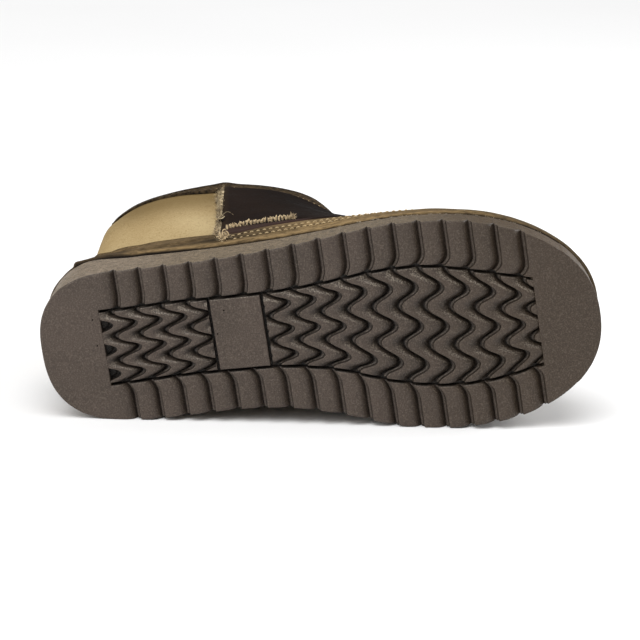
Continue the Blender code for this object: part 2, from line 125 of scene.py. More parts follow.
# inner ends of the side lugs bend to the heel: station, lateral, medial
LUG_HOOK = np.array(((30.0, .8, 2.6), (80.0, 1.0, 2.9), (130.0, 1.7, 2.6), (165.0, 2.7, 2.6), (185.0, 3.3, 2.9),
                     (210.0, 3.8, 3.2), (240.0, 3.0, 2.6)))
# small vent marks of the mould
MOULD_DOTS = ((87.2, -14.2), (83.3, -3.0), (25.1, -13.6), (26.2, -.9))
# soft creases of the upper: angle, share, half length in degrees, half width in share, height, slope
CREASES = (
    (304.0, .165, 11.0, .020, -0.75, -.0040),
    (302.0, .205, 12.0, .026, 0.50, -.0040),
    (326.0, .43, 14.0, .035, -0.55, .0010),
    (322.0, .50, 18.0, .050, 0.45, .0010),
    (300.0, .62, 16.0, .055, 0.55, .0006),
    (34.0, .43, 16.0, .040, -0.55, .0),
    (40.0, .50, 18.0, .050, 0.45, .0),
    (180.0, .70, 38.0, .030, -1.00, .0),
    (180.0, .745, 42.0, .034, 0.75, .0),
    (176.0, .635, 34.0, .026, -0.70, .0),
    (184.0, .665, 34.0, .026, 0.50, .0),
    (205.0, .585, 16.0, .022, -0.50, .0012),
    (150.0, .575, 18.0, .022, -0.50, -.0012),
    (236.0, .48, 14.0, .026, -0.40, .0016),
    (122.0, .47, 14.0, .026, -0.45, -.0016),
    (180.0, .43, 22.0, .030, 0.35, .0),
    (0.0, .44, 20.0, .030, -0.65, .0),
    (0.0, .53, 24.0, .045, 0.55, .0),
    (229.0, .79, 15.0, .13, -2.3, .0),
)

# lying on heel edge, ball edge and shaft
TURN = np.array(((0.9958446146, 0.0910177932, -0.0030438412), (0.0, 0.0334235806, 0.9994412760),
                 (0.0910686754, -0.9952882123, 0.0332846927)))
SHIFT = np.array((-130.352922, -70.461018, 32.606894))


# ---------------------------------------------------------------- curves and the upper's skin
def smooth(x, xs, ys):
    xs, ys, x = (np.asarray(q, float) for q in (xs, ys, x))
    slope = np.gradient(ys, xs)
    i = np.clip(np.searchsorted(xs, x) - 1, 0, len(xs) - 2)
    h = xs[i + 1] - xs[i]
    t = np.clip((x - xs[i]) / h, 0, 1)
    return ((1 + 2 * t) * (1 - t) ** 2 * ys[i] + t * (1 - t) ** 2 * h * slope[i]
            + t * t * (3 - 2 * t) * ys[i + 1] + t * t * (t - 1) * h * slope[i + 1])


def ease(t):
    t = np.clip(t, 0, 1)
    return t * t * (3 - 2 * t)


def sole_half(station, side):
    station = np.clip(np.asarray(station, float), 0, SOLE_LENGTH)
    col = OUTLINE[:, 1 if side < 0 else 2]
    full, join = smooth(FULL_WIDTH, OUTLINE[:, 0], col), smooth(HEEL_JOIN, OUTLINE[:, 0], col)
    back = (HEEL_JOIN - np.minimum(station, HEEL_JOIN)) / HEEL_JOIN
    front = (np.maximum(station, FULL_WIDTH) - FULL_WIDTH) / (SOLE_LENGTH - FULL_WIDTH)
    n, m = (q[0 if side < 0 else 1] for q in (HEEL_CURVE, TOE_CURVE))
    heel = join * np.maximum(0, 1 - back ** n) ** (1 / n)
    toe = full * np.maximum(0, 1 - front ** m) ** (1 / m)
    mid = smooth(np.clip(station, HEEL_JOIN, FULL_WIDTH), OUTLINE[:, 0], col)
    return np.where(station < HEEL_JOIN, heel, np.where(station > FULL_WIDTH, toe, mid))


def groove_at(station, side):
    return smooth(np.clip(station, 29.5, 233.3), OUTLINE[:, 0], OUTLINE[:, 3 if side < 0 else 4])


def spring(x):
    t = np.maximum(0, np.asarray(x, float) - SPRING_START) / (SOLE_LENGTH - SPRING_START)
    return TOE_SPRING * t ** 2


def sole_top(x):
    return (HEEL_HEIGHT + (FORE_HEIGHT - HEEL_HEIGHT)
            * ease((np.asarray(x, float) - RAMP_START) / (RAMP_END - RAMP_START)) + 0.8 * spring(x))


def inset(x, y, d):
    return d + x * (1 - 2 * d / SOLE_LENGTH), y * (1 - d / 43.0)


def skin(angle, share):
    angle, share = np.broadcast_arrays(np.asarray(angle, float), np.asarray(share, float))
    (xb, zb, xf, zf, wl, wm, sm, nb, nf, keep) = (
        smooth(share, ROW_SHARE, ROWS[:, j]) for j in range(ROWS.shape[1]))
    s = (1 - np.cos(angle)) / 2
    medial = np.sin(angle) >= 0
    width = np.where(medial, wm, wl)
    off = np.where(s < sm, (sm - s) / sm, (s - sm) / (1 - sm))
    n = np.where(s < sm, nb, nf)
    egg = width * np.maximum(0, 1 - off ** n) ** (1 / n)
    station = s * SOLE_LENGTH
    foot = np.where(medial, sole_half(station, 1), sole_half(station, -1)) * (1 - SEAT_INSET / 43.0)
    y = np.where(medial, 1, -1) * (keep * foot + (1 - keep) * egg)
    x = xb + (xf - xb) * s + keep * LUG_SKEW * y
    line = ROWS[0, 1] + (ROWS[0, 3] - ROWS[0, 1]) * s
    z = zb + (zf - zb) * s + keep * (sole_top(x) + SEAT - line)
    return np.stack([x, y, z], -1)


def outward(angle, share):
    h = 2e-3
    angle, share = np.broadcast_arrays(np.asarray(angle, float), np.asarray(share, float))
    du = skin(angle + h, share) - skin(angle - h, share)
    dv = skin(angle, np.minimum(share + h, 1)) - skin(angle, np.maximum(share - h, 0))
    n = np.cross(dv, du)
    n /= np.linalg.norm(n, axis=-1, keepdims=True)
    n[..., 2] *= ease(share / 0.09) * ease((1 - share) / 0.06)
    return n / np.linalg.norm(n, axis=-1, keepdims=True)


def relief(angle, share):
    """Soft troughs and ridges of the worn leather, the same through every layer."""
    a = np.degrees(np.asarray(angle, float)) % 360
    total = np.zeros(np.broadcast(a, share).shape)
    for at, mid, reach, half, height, slope in CREASES:
        off = (a - at + 180) % 360 - 180
        line = mid + slope * off
        total = total + height * np.exp(-(off / reach) ** 2 - ((share - line) / half) ** 2)
    return total * ease(share / 0.12) * ease((0.94 - share) / 0.08)


def fullness(angle, share):
    side = np.where(np.sin(angle) < 0, 1.0, .5)
    a = from_heel(angle)
    below, lip = (smooth(a, SHAFT_FULL[:, 0], SHAFT_FULL[:, j]) for j in (1, 2))
    to_lip = ease((share - .87) / .13)
    return side * (below * (1 - to_lip) + lip * to_lip) * ease((share - .40) / .45)


def binding_edge(angle, column=1):
    return smooth(from_heel(angle), BINDING_EDGE[:, 0], BINDING_EDGE[:, column])


def shell(angle, share, d):
    """The skin with its creases, moved out by d, its foot level with the top of the sole."""
    base = skin(angle, share)
    p = base + (d + relief(angle, share) + fullness(angle, share))[..., None] * outward(angle, share)
    p[..., 2] += ease(1 - share / 0.09) * (sole_top(p[..., 0]) - sole_top(base[..., 0]))
    return p


def from_heel(angle):
    return np.degrees(np.arccos(np.cos(np.asarray(angle, float))))


def foxing_edge(angle):
    return smooth(from_heel(angle), FOXING_EDGE[:, 0], FOXING_EDGE[:, 1])


def seam_angle(share):
    xb, xf = (smooth(share, ROW_SHARE, ROWS[:, j]) for j in (0, 2))
    seam = SEAM_LOW + (SEAM_HIGH - SEAM_LOW) * (share - 0.3) / 0.7
    return np.arccos(1 - 2 * (seam - xb) / (xf - xb))


def tuft_share(angle):
    return smooth(from_heel(angle), TUFT_LINE[:, 0], TUFT_LINE[:, 1])


def wander(rows, cols, size, seed, wrap=True):
    """Smooth random field, mean 0 and spread 1, that closes around its columns."""
    r = np.random.default_rng(seed).normal(size=(rows, cols))
    fy, fx = np.fft.fftfreq(rows)[:, None], np.fft.fftfreq(cols)[None, :]
    low = np.exp(-2 * (pi * size) ** 2 * (fx ** 2 + fy ** 2))
    f = np.real(np.fft.ifft2(np.fft.fft2(r) * low))
    return f / f.std()


# ---------------------------------------------------------------- mesh helpers
class Mesh:
    """Points and faces of one piece, in shoe millimetres, with named numbers per point."""

    def __init__(self):
        self.parts, self.faces, self.notes, self.count = [], [], [], 0

    def add(self, points, **notes):
        points = np.asarray(points, float)
        idx = self.count + np.arange(points[..., 0].size).reshape(points.shape[:-1])
        self.parts.append(points.reshape(-1, 3))
        self.notes.append({k: np.broadcast_to(np.asarray(v, float), points.shape[:-1]).reshape(-1)
                           for k, v in notes.items()})
        self.count += idx.size
        return idx

    def grid(self, idx, flip=False):
        q = np.stack([idx[:-1, :-1], idx[:-1, 1:], idx[1:, 1:], idx[1:, :-1]], -1).reshape(-1, 4)
        self.faces.append(q[:, ::-1] if flip else q)

    def band(self, a, b, flip=False):
        self.grid(np.stack([a, b]), flip)

    def polygon(self, loop):
        self.faces.append(np.asarray(loop)[None])

    def points(self):
        return np.concatenate(self.parts)

    def volume(self):
        v, total = self.points(), 0.0
        for f in self.faces:
            for i in range(1, f.shape[1] - 1):
                total += float(np.einsum("ij,ij->i", v[f[:, 0]], np.cross(v[f[:, i]], v[f[:, i + 1]])).sum())
        return total


def closed(idx):
    return np.concatenate([idx, idx[:, :1]], 1)


def piece(name, mesh, material, node=None, sharp=None, weld=False, turn=True):
    """Make the Blender object of one piece and ride it on the shoe."""
    faces = mesh.faces
    if turn and mesh.volume() < 0:
        faces = [f[:, ::-1] for f in faces]
    v = (mesh.points() @ TURN.T + SHIFT) * 0.001
    v[:, 2] = np.maximum(v[:, 2], 0.0002)                             # soft edges lie flat on the floor
    me = bpy.data.meshes.new(name)
    me.from_pydata(v.tolist(), [], [q for f in faces for q in f.tolist()])
    for key in sorted({k for n in mesh.notes for k in n}):
        values = np.concatenate([n.get(key, np.zeros(len(p))) for n, p in zip(mesh.notes, mesh.parts)])
        at = me.attributes.new(key, "FLOAT", "POINT")
        at.data.foreach_set("value", values.astype(np.float32))
    if weld:
        bm = bmesh.new()
        bm.from_mesh(me)
        bmesh.ops.remove_doubles(bm, verts=bm.verts, dist=2e-6)
        bmesh.ops.dissolve_degenerate(bm, edges=bm.edges, dist=1e-6)
        bm.to_mesh(me)
        bm.free()
    me.validate()
    me.update()
    me.shade_smooth()
    if sharp:
        me.set_sharp_from_angle(angle=radians(sharp))
    me.materials.append(material)
    ob = bpy.data.objects.new(name, me)
    bpy.context.scene.collection.objects.link(ob)
    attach(ob, "root")
    if node:
        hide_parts(node)
    return ob


def frame_along(path):
    """Unit tangents, and two more units square to them, along a run of points."""
    t = np.gradient(path, axis=0)
    t /= np.linalg.norm(t, axis=1, keepdims=True)
    ref = np.where(np.abs(t[:, 2:3]) < 0.9, np.array([[0, 0, 1.0]]), np.array([[1.0, 0, 0]]))
    a = np.cross(t, ref)
    a /= np.linalg.norm(a, axis=1, keepdims=True)
    return t, a, np.cross(t, a)


def tube(mesh, path, radius, sides=6, **notes):
    """Closed tube along a path; radius may vary."""
    path = np.asarray(path, float)
    radius = np.broadcast_to(np.asarray(radius, float), len(path))
    _, a, b = frame_along(path)
    w = np.arange(sides) * 2 * pi / sides
    ring = path[:, None] + radius[:, None, None] * (
        np.cos(w)[None, :, None] * a[:, None] + np.sin(w)[None, :, None] * b[:, None])
    idx = mesh.add(ring, **notes)
    mesh.grid(closed(idx))
    mesh.polygon(idx[0][::-1])
    mesh.polygon(idx[-1])


def stitch(mesh, a, b, up, radius, rise, **notes):
    """One stitch: a short bowed thread whose two ends dip into the leather."""
    n = 6
    t = np.linspace(0, 1, n)[:, None]
    lift = np.sin(pi * t) * rise - (1 - np.sin(pi * t)) * radius * 0.9
    path = a + (b - a) * t + up * lift
    tube(mesh, path, radius * (0.72 + 0.28 * np.sin(pi * t[:, 0])), 6, **notes)


def hairs(mesh, root, way, length, width, bend, steps=3, **notes):
    """Many tapered fibres as three-sided spikes: root, direction, length, width and bend of each."""
    n = len(root)
    side = np.cross(way, bend + 1e-6)
    side /= np.linalg.norm(side, axis=1, keepdims=True) + 1e-12
    other = np.cross(way, side)
    t = np.linspace(0, 1, steps + 1)
    line = (root[:, None] + (way * length[:, None])[:, None] * t[None, :, None]
            + (bend * length[:, None])[:, None] * (t ** 2)[None, :, None])
    half = width[:, None] * (1 - 0.85 * t[None]) * 0.5
    w = np.arange(3) * 2 * pi / 3
    ring = line[:, :, None] + half[:, :, None, None] * (
        np.cos(w)[None, None, :, None] * side[:, None, None] + np.sin(w)[None, None, :, None] * other[:, None, None])
    keep = {k: np.broadcast_to(np.asarray(v, float).reshape(-1, 1, 1), (n, steps + 1, 3)) for k, v in notes.items()}
    idx = mesh.add(ring, **keep)
    nxt = np.roll(idx, -1, 2)
    q = np.stack([idx[:, :-1], nxt[:, :-1], nxt[:, 1:], idx[:, 1:]], -1).reshape(-1, 4)
    mesh.faces.append(q)
    mesh.faces.append(idx[:, -1].reshape(-1, 3))
    mesh.faces.append(idx[:, 0, ::-1].reshape(-1, 3))


# ---------------------------------------------------------------- materials
def linear(*c):
    c = np.asarray(c, float) / 255
    return (*np.where(c <= 0.04045, c / 12.92, ((c + 0.055) / 1.055) ** 2.4).tolist(), 1.0)


class Look:
    """A Principled material with a few short-cuts for its nodes."""

    def __init__(self, name, rough, sheen=0.0, coat=0.0, spec=0.5, sheen_tint=(1, 1, 1, 1), sheen_rough=0.5):
        self.mat = bpy.data.materials.new(name)
        self.mat.use_nodes = True
        self.tree = self.mat.node_tree
        self.sh = self.tree.nodes["Principled BSDF"]
        self.sh.inputs["Roughness"].default_value = rough
        self.sh.inputs["Specular IOR Level"].default_value = spec
        self.sh.inputs["Sheen Weight"].default_value = sheen
        self.sh.inputs["Sheen Roughness"].default_value = sheen_rough
        self.sh.inputs["Sheen Tint"].default_value = sheen_tint
        self.sh.inputs["Coat Weight"].default_value = coat
        self.sh.inputs["Coat Roughness"].default_value = 0.35
        self.where = self.tree.nodes.new("ShaderNodeTexCoord").outputs["Object"]

    def node(self, kind, **values):
        n = self.tree.nodes.new(kind)
        for k, v in values.items():
            setattr(n, k, v)
        return n

    def put(self, socket, value):
        if isinstance(value, bpy.types.NodeSocket):
            self.tree.links.new(value, socket)
        else:
            socket.default_value = value

    def noise(self, size_mm, detail=2.0, rough=0.5, stretch=None, distort=0.0):
        n = self.node("ShaderNodeTexNoise")
        where = self.where
        if stretch:
            m = self.node("ShaderNodeMapping")
            m.inputs["Scale"].default_value = stretch
            self.put(m.inputs["Vector"], where)
            where = m.outputs["Vector"]
        self.put(n.inputs["Vector"], where)
        n.inputs["Scale"].default_value = 1000.0 / size_mm
        n.inputs["Detail"].default_value = detail
        n.inputs["Roughness"].default_value = rough
        n.inputs["Distortion"].default_value = distort
        return n.outputs["Fac"]

    def cells(self, size_mm, feature="F1"):
        n = self.node("ShaderNodeTexVoronoi", feature=feature)
        self.put(n.inputs["Vector"], self.where)
        n.inputs["Scale"].default_value = 1000.0 / size_mm
        return n.outputs["Distance"]

    def note(self, key):
        return self.node("ShaderNodeAttribute", attribute_name=key).outputs["Fac"]

    def ramp(self, fac, low, high, to_low=0.0, to_high=1.0):
        n = self.node("ShaderNodeMapRange", clamp=True)
        self.put(n.inputs["Value"], fac)
        for k, v in (("From Min", low), ("From Max", high), ("To Min", to_low), ("To Max", to_high)):
            n.inputs[k].default_value = v
        return n.outputs["Result"]

    def maths(self, kind, a, b):
        n = self.node("ShaderNodeMath", operation=kind)
        self.put(n.inputs[0], a)
        self.put(n.inputs[1], b)
        return n.outputs[0]

    def mix(self, fac, a, b, kind="MIX"):
        n = self.node("ShaderNodeMix", data_type="RGBA", blend_type=kind)
        self.put(n.inputs["Factor"], fac)
        self.put(n.inputs[6], a)
        self.put(n.inputs[7], b)
        return n.outputs[2]

    def colour(self, value):
        self.put(self.sh.inputs["Base Color"], value)

    def rough(self, value):
        self.put(self.sh.inputs["Roughness"], value)

    def bump(self, height, depth_mm, strength=1.0):
        n = self.node("ShaderNodeBump")
        n.inputs["Distance"].default_value = depth_mm * 0.001
        n.inputs["Strength"].default_value = strength
        self.put(n.inputs["Height"], height)
        self.put(self.sh.inputs["Normal"], n.outputs["Normal"])


def rubber():
    k = Look("moulded_rubber", .6, spec=.32)
    fine, mid, big = k.noise(.66, 2, .6), k.noise(3.0, 3, .6), k.noise(26, 3)
    c = k.mix(k.ramp(big, .35, .65), linear(64, 54, 46), linear(71, 60, 52))
    streak = k.ramp(k.noise(1.5, 4, .7, stretch=(.5, 1.0, 1.0)), .36, .64)
    side = k.mix(streak, linear(60, 50, 37), linear(132, 116, 92))
    # painted light on the sidewall towards the heel
    side = k.mix(k.maths("MULTIPLY", k.note("pale"), .95), side, k.mix(streak, linear(84, 72, 58), linear(150, 135, 117)))
    side = k.mix(k.ramp(fine, .50, .66, 0, .50), side, linear(172, 154, 128))
    side = k.mix(k.ramp(fine, .34, .50, .55, 0), side, linear(60, 49, 37))
    # painted shade towards the toe, on the sidewall and the tread
    side = k.mix(k.maths("MULTIPLY", k.note("fore"), .65), side, linear(66, 53, 33))
    side = k.mix(k.ramp(k.note("fore"), .36, .80, 0, .80), side, linear(40, 30, 18))
    c = k.mix(k.maths("MULTIPLY", k.note("fore"), .45), c, linear(48, 38, 28))
    c = k.mix(k.note("side"), c, side)
    # painted shade in the tread's valleys and grooves and on its shoulders
    c = k.mix(k.ramp(k.note("deep"), 0, 1, 0, .92), c, linear(17, 14, 11))
    c = k.mix(k.ramp(fine, .50, .72, 0, .45), c, linear(112, 101, 90))
    c = k.mix(k.ramp(fine, .28, .50, .45, 0), c, linear(36, 31, 28))
    # more painted shade towards the toe, warmer, and on the sidewall with its grain kept
    c = k.mix(k.maths("MULTIPLY", k.note("fore"), .16), c, linear(62, 47, 24))
    c = k.mix(k.maths("MULTIPLY", k.note("side"), k.ramp(k.note("fore"), .25, .80, .06, .62)), c, k.mix(k.ramp(fine, .36, .64), linear(44, 33, 19), linear(92, 71, 42)))
    # painted highlight on the shoulders that face up
    c = k.mix(k.maths("MULTIPLY", k.note("rubbed"), k.ramp(fine, .44, .64, .03, .66)), c, linear(146, 136, 122))
    k.colour(c)
    k.rough(k.ramp(mid, .3, .7, .38, .60))
    k.bump(k.maths("ADD", fine, k.maths("MULTIPLY", mid, .5)), .26)
    return k.mat


def nubuck():
    k = Look("beige_nubuck", .9, sheen=.12, spec=.12, sheen_tint=linear(220, 196, 150))
    fine, mid, big = k.noise(.9, 3, .65), k.noise(3.4, 3, .55), k.noise(24, 2)
    c = k.mix(k.ramp(big, .3, .7), linear(147, 125, 86), linear(161, 140, 101))
    c = k.mix(k.ramp(mid, .40, .75, 0, .35), c, linear(170, 150, 110))
    # painted light: a lighter patch on the side of the shaft near the seam
    c = k.mix(k.note("pale"), c, linear(180, 161, 122))
    c = k.mix(k.ramp(k.cells(3.2), .0, .20, .6, 0), c, linear(116, 92, 54))
    c = k.mix(k.ramp(fine, .32, .48, .50, 0), c, linear(112, 90, 52))
    c = k.mix(k.ramp(k.noise(.6, 2, .6), .54, .70, 0, .45), c, linear(196, 176, 134))
    c = k.mix(k.note("shade"), c, linear(80, 60, 20))
    k.colour(c)
    k.bump(k.maths("ADD", fine, k.maths("MULTIPLY", mid, .6)), .16)
    return k.mat


def suede():
    k = Look("olive_suede", .94, sheen=.2, spec=.08, sheen_tint=linear(150, 128, 92))
    fine, nap, big = k.noise(.8, 3, .7), k.noise(2.4, 4, .66, stretch=(.55, 1.0, 1.0)), k.noise(14, 3)
    c = k.mix(k.ramp(big, .3, .7), linear(80, 65, 45), linear(102, 84, 59))
    # painted highlight along the foxing's roll and further forward on its side
    c = k.mix(k.note("roll"), c, linear(138, 115, 80))
    c = k.mix(k.ramp(nap, .34, .56, .8, 0), c, linear(46, 36, 24))
    c = k.mix(k.ramp(nap, .52, .72, 0, .5), c, linear(132, 112, 80))
    c = k.mix(k.ramp(fine, .55, .74, 0, .4), c, linear(130, 110, 78))
    c = k.mix(k.note("band"), c, k.mix(k.ramp(nap, .35, .65), linear(42, 34, 25), linear(68, 55, 41)))
    # dark cut edge, plus painted shade in the gap at the sole, in the crease, under the front panel and at the toe
    c = k.mix(k.note("edge"), c, linear(16, 13, 11))
    k.colour(c)
    k.bump(k.maths("ADD", fine, nap), .24)
    return k.mat


def binding_suede():
    k = Look("binding_suede", .94, sheen=.08, spec=.06, sheen_tint=linear(120, 104, 80))
    fine, nap = k.noise(.9, 3, .7), k.noise(2.0, 4, .65)
    c = k.mix(k.ramp(nap, .36, .64), linear(20, 16, 12), linear(72, 59, 42))
    c = k.mix(k.ramp(fine, .58, .76, 0, .3), c, linear(92, 78, 56))
    c = k.mix(k.note("edge"), c, linear(9, 8, 7))
    k.colour(c)
    k.bump(k.maths("ADD", fine, nap), .18)
    return k.mat


def dark_leather():
    k = Look("dark_waxed_leather", .62, spec=.035)
    fine, mid, big = k.cells(1.1), k.noise(4.5, 4, .6), k.noise(30, 3)
    c = k.mix(k.ramp(big, .3, .7), linear(24, 17, 14), linear(32, 24, 20))
    c = k.mix(k.ramp(mid, .45, .8, 0, .4), c, linear(42, 32, 26))
    # painted shade towards the front of the panel
    c = k.mix(k.note("fore"), c, linear(10, 8, 7))
    c = k.mix(k.note("strip"), c, linear(56, 42, 38))
    c = k.mix(k.note("edge"), c, linear(70, 58, 43))
    k.colour(c)
    k.rough(k.ramp(mid, .3, .75, .52, .74))
    k.bump(k.maths("ADD", k.maths("MULTIPLY", fine, .5), mid), .12)
    return k.mat


def fleece():
    k = Look("wool_fleece", .97, sheen=.3, spec=.1, sheen_tint=linear(244, 232, 208))
    fine, mid = k.noise(.7, 4, .7), k.noise(4.0, 3, .6)
    c = k.mix(k.ramp(mid, .3, .7), linear(150, 132, 100), linear(190, 173, 142))
    c = k.mix(k.ramp(fine, .3, .5, .35, 0), c, linear(118, 99, 70))
    k.colour(c)
    k.bump(k.maths("ADD", fine, mid), .5)
    return k.mat


def thread(name, low, high):
    k = Look(name, .78, sheen=.2, spec=.25)
    c = k.mix(k.ramp(k.noise(.9, 2), .3, .7), linear(*low), linear(*high))
    k.colour(k.mix(k.note("dim"), c, linear(40, 32, 22)))
    k.bump(k.noise(.3, 2), .05)
    return k.mat


def raw_wool():
    k = Look("raw_shearling_edge", .97, sheen=.15, spec=.1)
    fine, mid = k.noise(.5, 4, .7), k.noise(2.2, 3, .6)
    c = k.mix(k.ramp(mid, .40, .66), linear(92, 75, 49), linear(222, 202, 162))
    c = k.mix(k.ramp(fine, .3, .5, .4, 0), c, linear(66, 53, 36))
    k.colour(c)
    k.bump(k.maths("ADD", fine, mid), .5)
    return k.mat


# near-black for needle holes, stitch pricks and the pulled hole: painted shade inside them; the mould dots use it too
def dark_hole():
    k = Look("needle_hole", .95, spec=.1)
    k.colour(k.mix(k.ramp(k.noise(.5, 2), .3, .7), linear(14, 11, 9), linear(30, 24, 20)))
    return k.mat


RUBBER, NUBUCK, SUEDE, EDGING = rubber(), nubuck(), suede(), binding_suede()
LEATHER, FLEECE, RAW, HOLE = dark_leather(), fleece(), raw_wool(), dark_hole()
CREAM = thread("cream_thread", (158, 136, 98), (206, 183, 142))
TAN = thread("tan_thread", (134, 112, 78), (176, 152, 112))
TUFT = thread("frayed_yarn", (142, 120, 86), (204, 182, 144))
FRAY = thread("welt_fray", (96, 84, 66), (176, 164, 142))


# ---------------------------------------------------------------- outsole with its tread
def lug_depth(t, column=1):
    t = np.asarray(t, float) % 1
    return np.interp(t, np.append(LUG_PROFILE[:, 0], 1.0), np.append(LUG_PROFILE[:, column], LUG_PROFILE[0, column]))


def wave_shift(station, v):
    ahead, height, count, start = (smooth(station, WAVES[:, 0], WAVES[:, j]) for j in (1, 2, 3, 4))
    w = 2 * pi * (count * (v - .5) + 1.5 - 3 * start)
    return ahead - height * (np.cos(w) - .042 * np.cos(3 * w))


def make_outsole():
    share = LUG_PROFILE[:, 0]
    lines = [(-2, t) for t in share if t >= .5]
    lines += [(k, t) for k in range(-1, 16) for t in share]
    lines += [(16, t) for t in share if t <= .51]
    k, t = (np.array(q) for q in zip(*lines))
    S = LUG_FIRST + LUG_PITCH * (k + t)
    n = len(S)
    # side lugs
    lug_at = np.where(k == -2, 29.08 + .2 * t, np.where((k == 16) & (t > .05), LUG_FIRST + LUG_PITCH * 16.05 + (t - .05), S))
    lug_at = lug_at + smooth(lug_at, LUG_DRIFT[:, 0], LUG_DRIFT[:, 1])
    f = np.array((0, .015, .05, .11, .19, .29, .42, .56, .70, .84, .94, .98, 1.0))
    lug_z = np.where((k == -2) | ((k == -1) & (t < .1)) | ((k == 16) & (t > .04)), 0, lug_depth(t, 2))
    gate = ease((lug_at - 30) / 8) * ease((238 - lug_at) / 4.5)

    def lugs(side):
        hook = smooth(lug_at, LUG_HOOK[:, 0], LUG_HOOK[:, 1 if side < 0 else 2]) * gate
        width = sole_half(lug_at, side) - groove_at(lug_at, side) - GROOVE
        run = f[None] * width[:, None]
        station = lug_at[:, None] - hook[:, None] * np.clip(1 - run / 6.0, 0, 1) ** 2
        y = groove_at(station, side) + GROOVE
        y = y + f[None] * (sole_half(station, side) - y)
        inner = np.where((k == -2) | ((k == 16) & (t > .05)), 0.0, 1.0)[:, None]
        z = lug_z[:, None] + inner * np.interp(f, (0, .015, .05), (.30, .06, 0)) + np.interp(f, (.94, .98, 1), (0, .05, .32))
        return station, side * y, z

    # waved field, cut off at the heel pad, at the plate and at the toe pad
    v = np.concatenate([[0, .006], np.linspace(0, 1, 61)[1:-1], [.994, 1]])
    plate_rows = np.where((S > 86.6) & (S < 100.3))[0]
    first, last = plate_rows[0], plate_rows[-1]
    low = np.where(np.arange(n) < first, FIELD_START, PLATE_HIGH)
    high = np.where(np.arange(n) < first, PLATE_LOW, FIELD_END)
    shift = wave_shift(S[:, None], v[None])
    station = np.clip(S[:, None] + shift, low[:, None], high[:, None])
    z = lug_depth((station - shift - LUG_FIRST) / LUG_PITCH)
    z = np.where(station - shift < LUG_FIRST - LUG_PITCH - .02, np.maximum(z, 3.9), z)     # pits beside the heel pad
    count = len(plate_rows)
    edge_in = ((PLATE_LOW, GROOVE_FLOOR), (PLATE_START - .08, GROOVE_FLOOR), (PLATE_START, .34), (PLATE_START + .14, .10), (PLATE_START + .45, .02))
    edge_out = ((PLATE_END - .45, .02), (PLATE_END - .14, .10), (PLATE_END, .34), (PLATE_END + .08, GROOVE_FLOOR), (PLATE_HIGH, GROOVE_FLOOR))
    inner = [(q, 0.0) for q in np.linspace(PLATE_START + 1.5, PLATE_END - 1.5, count - 10)]
    plate = np.array(list(edge_in) + inner + list(edge_out))
    station[first:last + 1] = plate[:, :1]
    z[first:last + 1] = plate[:, 1:]
    z = z + np.interp(v, (0, .006, .02, .98, .994, 1), (.30, .06, 0, 0, .06, .30))[None] * (z < GROOVE_FLOOR - .2)
    gl, gm = groove_at(station, -1) - GROOVE, groove_at(station, 1) - GROOVE
    fy = -gl + v[None] * (gl + gm)

    lat, med = lugs(-1), lugs(1)

    def floor(edge_station, edge_y, drift):
        return (np.clip(edge_station, FIELD_START, FIELD_END)[:, None], (edge_y + drift)[:, None],
                np.full((n, 1), GROOVE_FLOOR))

    # painted shade of the field: its valleys and shoulders, the pits beside the heel pad, the grooves round the plate
    # and along its sides
    tone = lug_depth((station - shift - LUG_FIRST) / LUG_PITCH, 3)
    tone = np.where(station - shift < LUG_FIRST - LUG_PITCH - .02, 1, tone)
    tone[first:last + 1] = np.clip(z[first:last + 1] / LUG_DEPTH, 0, 1)
    tone[:, [0, -1]] = 1
    flat = (k == -2) | ((k == -1) & (t < .1)) | ((k == 16) & (t > .04))
    # painted shade of the side lugs, full at their inner ends by the groove
    lug_shade = np.repeat(np.where(flat, 0, lug_depth(t, 4))[:, None], len(f), 1)
    lug_shade[(lug_at > 30.5) & (lug_at < 233), 0] = 1
    # the lateral lugs face up and get less painted shade
    lat_shade = np.where(lug_shade < .7, lug_shade * .75, lug_shade)
    # painted shade over the whole tread, full on the groove floors
    deep = np.concatenate([lat_shade[:, ::-1], np.ones((n, 2)), tone, np.ones((n, 2)), lug_shade], 1)
    blocks = [tuple(q[:, ::-1] for q in lat), floor(lat[0][:, 0], lat[1][:, 0], .06),
              floor(station[:, 0], fy[:, 0], -.06), (station, fy, z),
              floor(station[:, -1], fy[:, -1], .06), floor(med[0][:, 0], med[1][:, 0], -.06), med]
    st, yy, zz = (np.concatenate([b[i] for b in blocks], 1) for i in range(3))
    cols = st.shape[1]
    nl = len(f)
    field = slice(nl, cols - nl)

    def pad_row(lug_at, field_at, lug_drop, field_drop):
        s = np.full(cols, float(lug_at))
        s[field] = field_at
        y = np.empty(cols)
        ref = yy[0] if lug_at < 100 else yy[-1]
        y[:] = ref
        y[:nl] = -(groove_at(s[:nl], -1) + GROOVE + f[::-1] * (sole_half(s[:nl], -1) - groove_at(s[:nl], -1) - GROOVE))
        y[-nl:] = groove_at(s[-nl:], 1) + GROOVE + f * (sole_half(s[-nl:], 1) - groove_at(s[-nl:], 1) - GROOVE)
        d = np.zeros(cols)
        d[field] = field_drop
        d[0] = d[-1] = .32
        d[1] = d[-2] = .05
        return s, y, d + lug_drop

    heel_rows = [pad_row(28.75, FIELD_START - .45, 0, 0), pad_row(28.95, FIELD_START - .14, 0, .06),
                 pad_row(29.05, FIELD_START - .02, 0, .26)]
    toe_rows = [pad_row(234.2, FIELD_END + .02, 0, .26), pad_row(234.35, FIELD_END + .14, 0, .06),
                pad_row(234.5, FIELD_END + .5, 0, 0)]

    turn = np.linspace(-1, 1, cols) * pi / 2

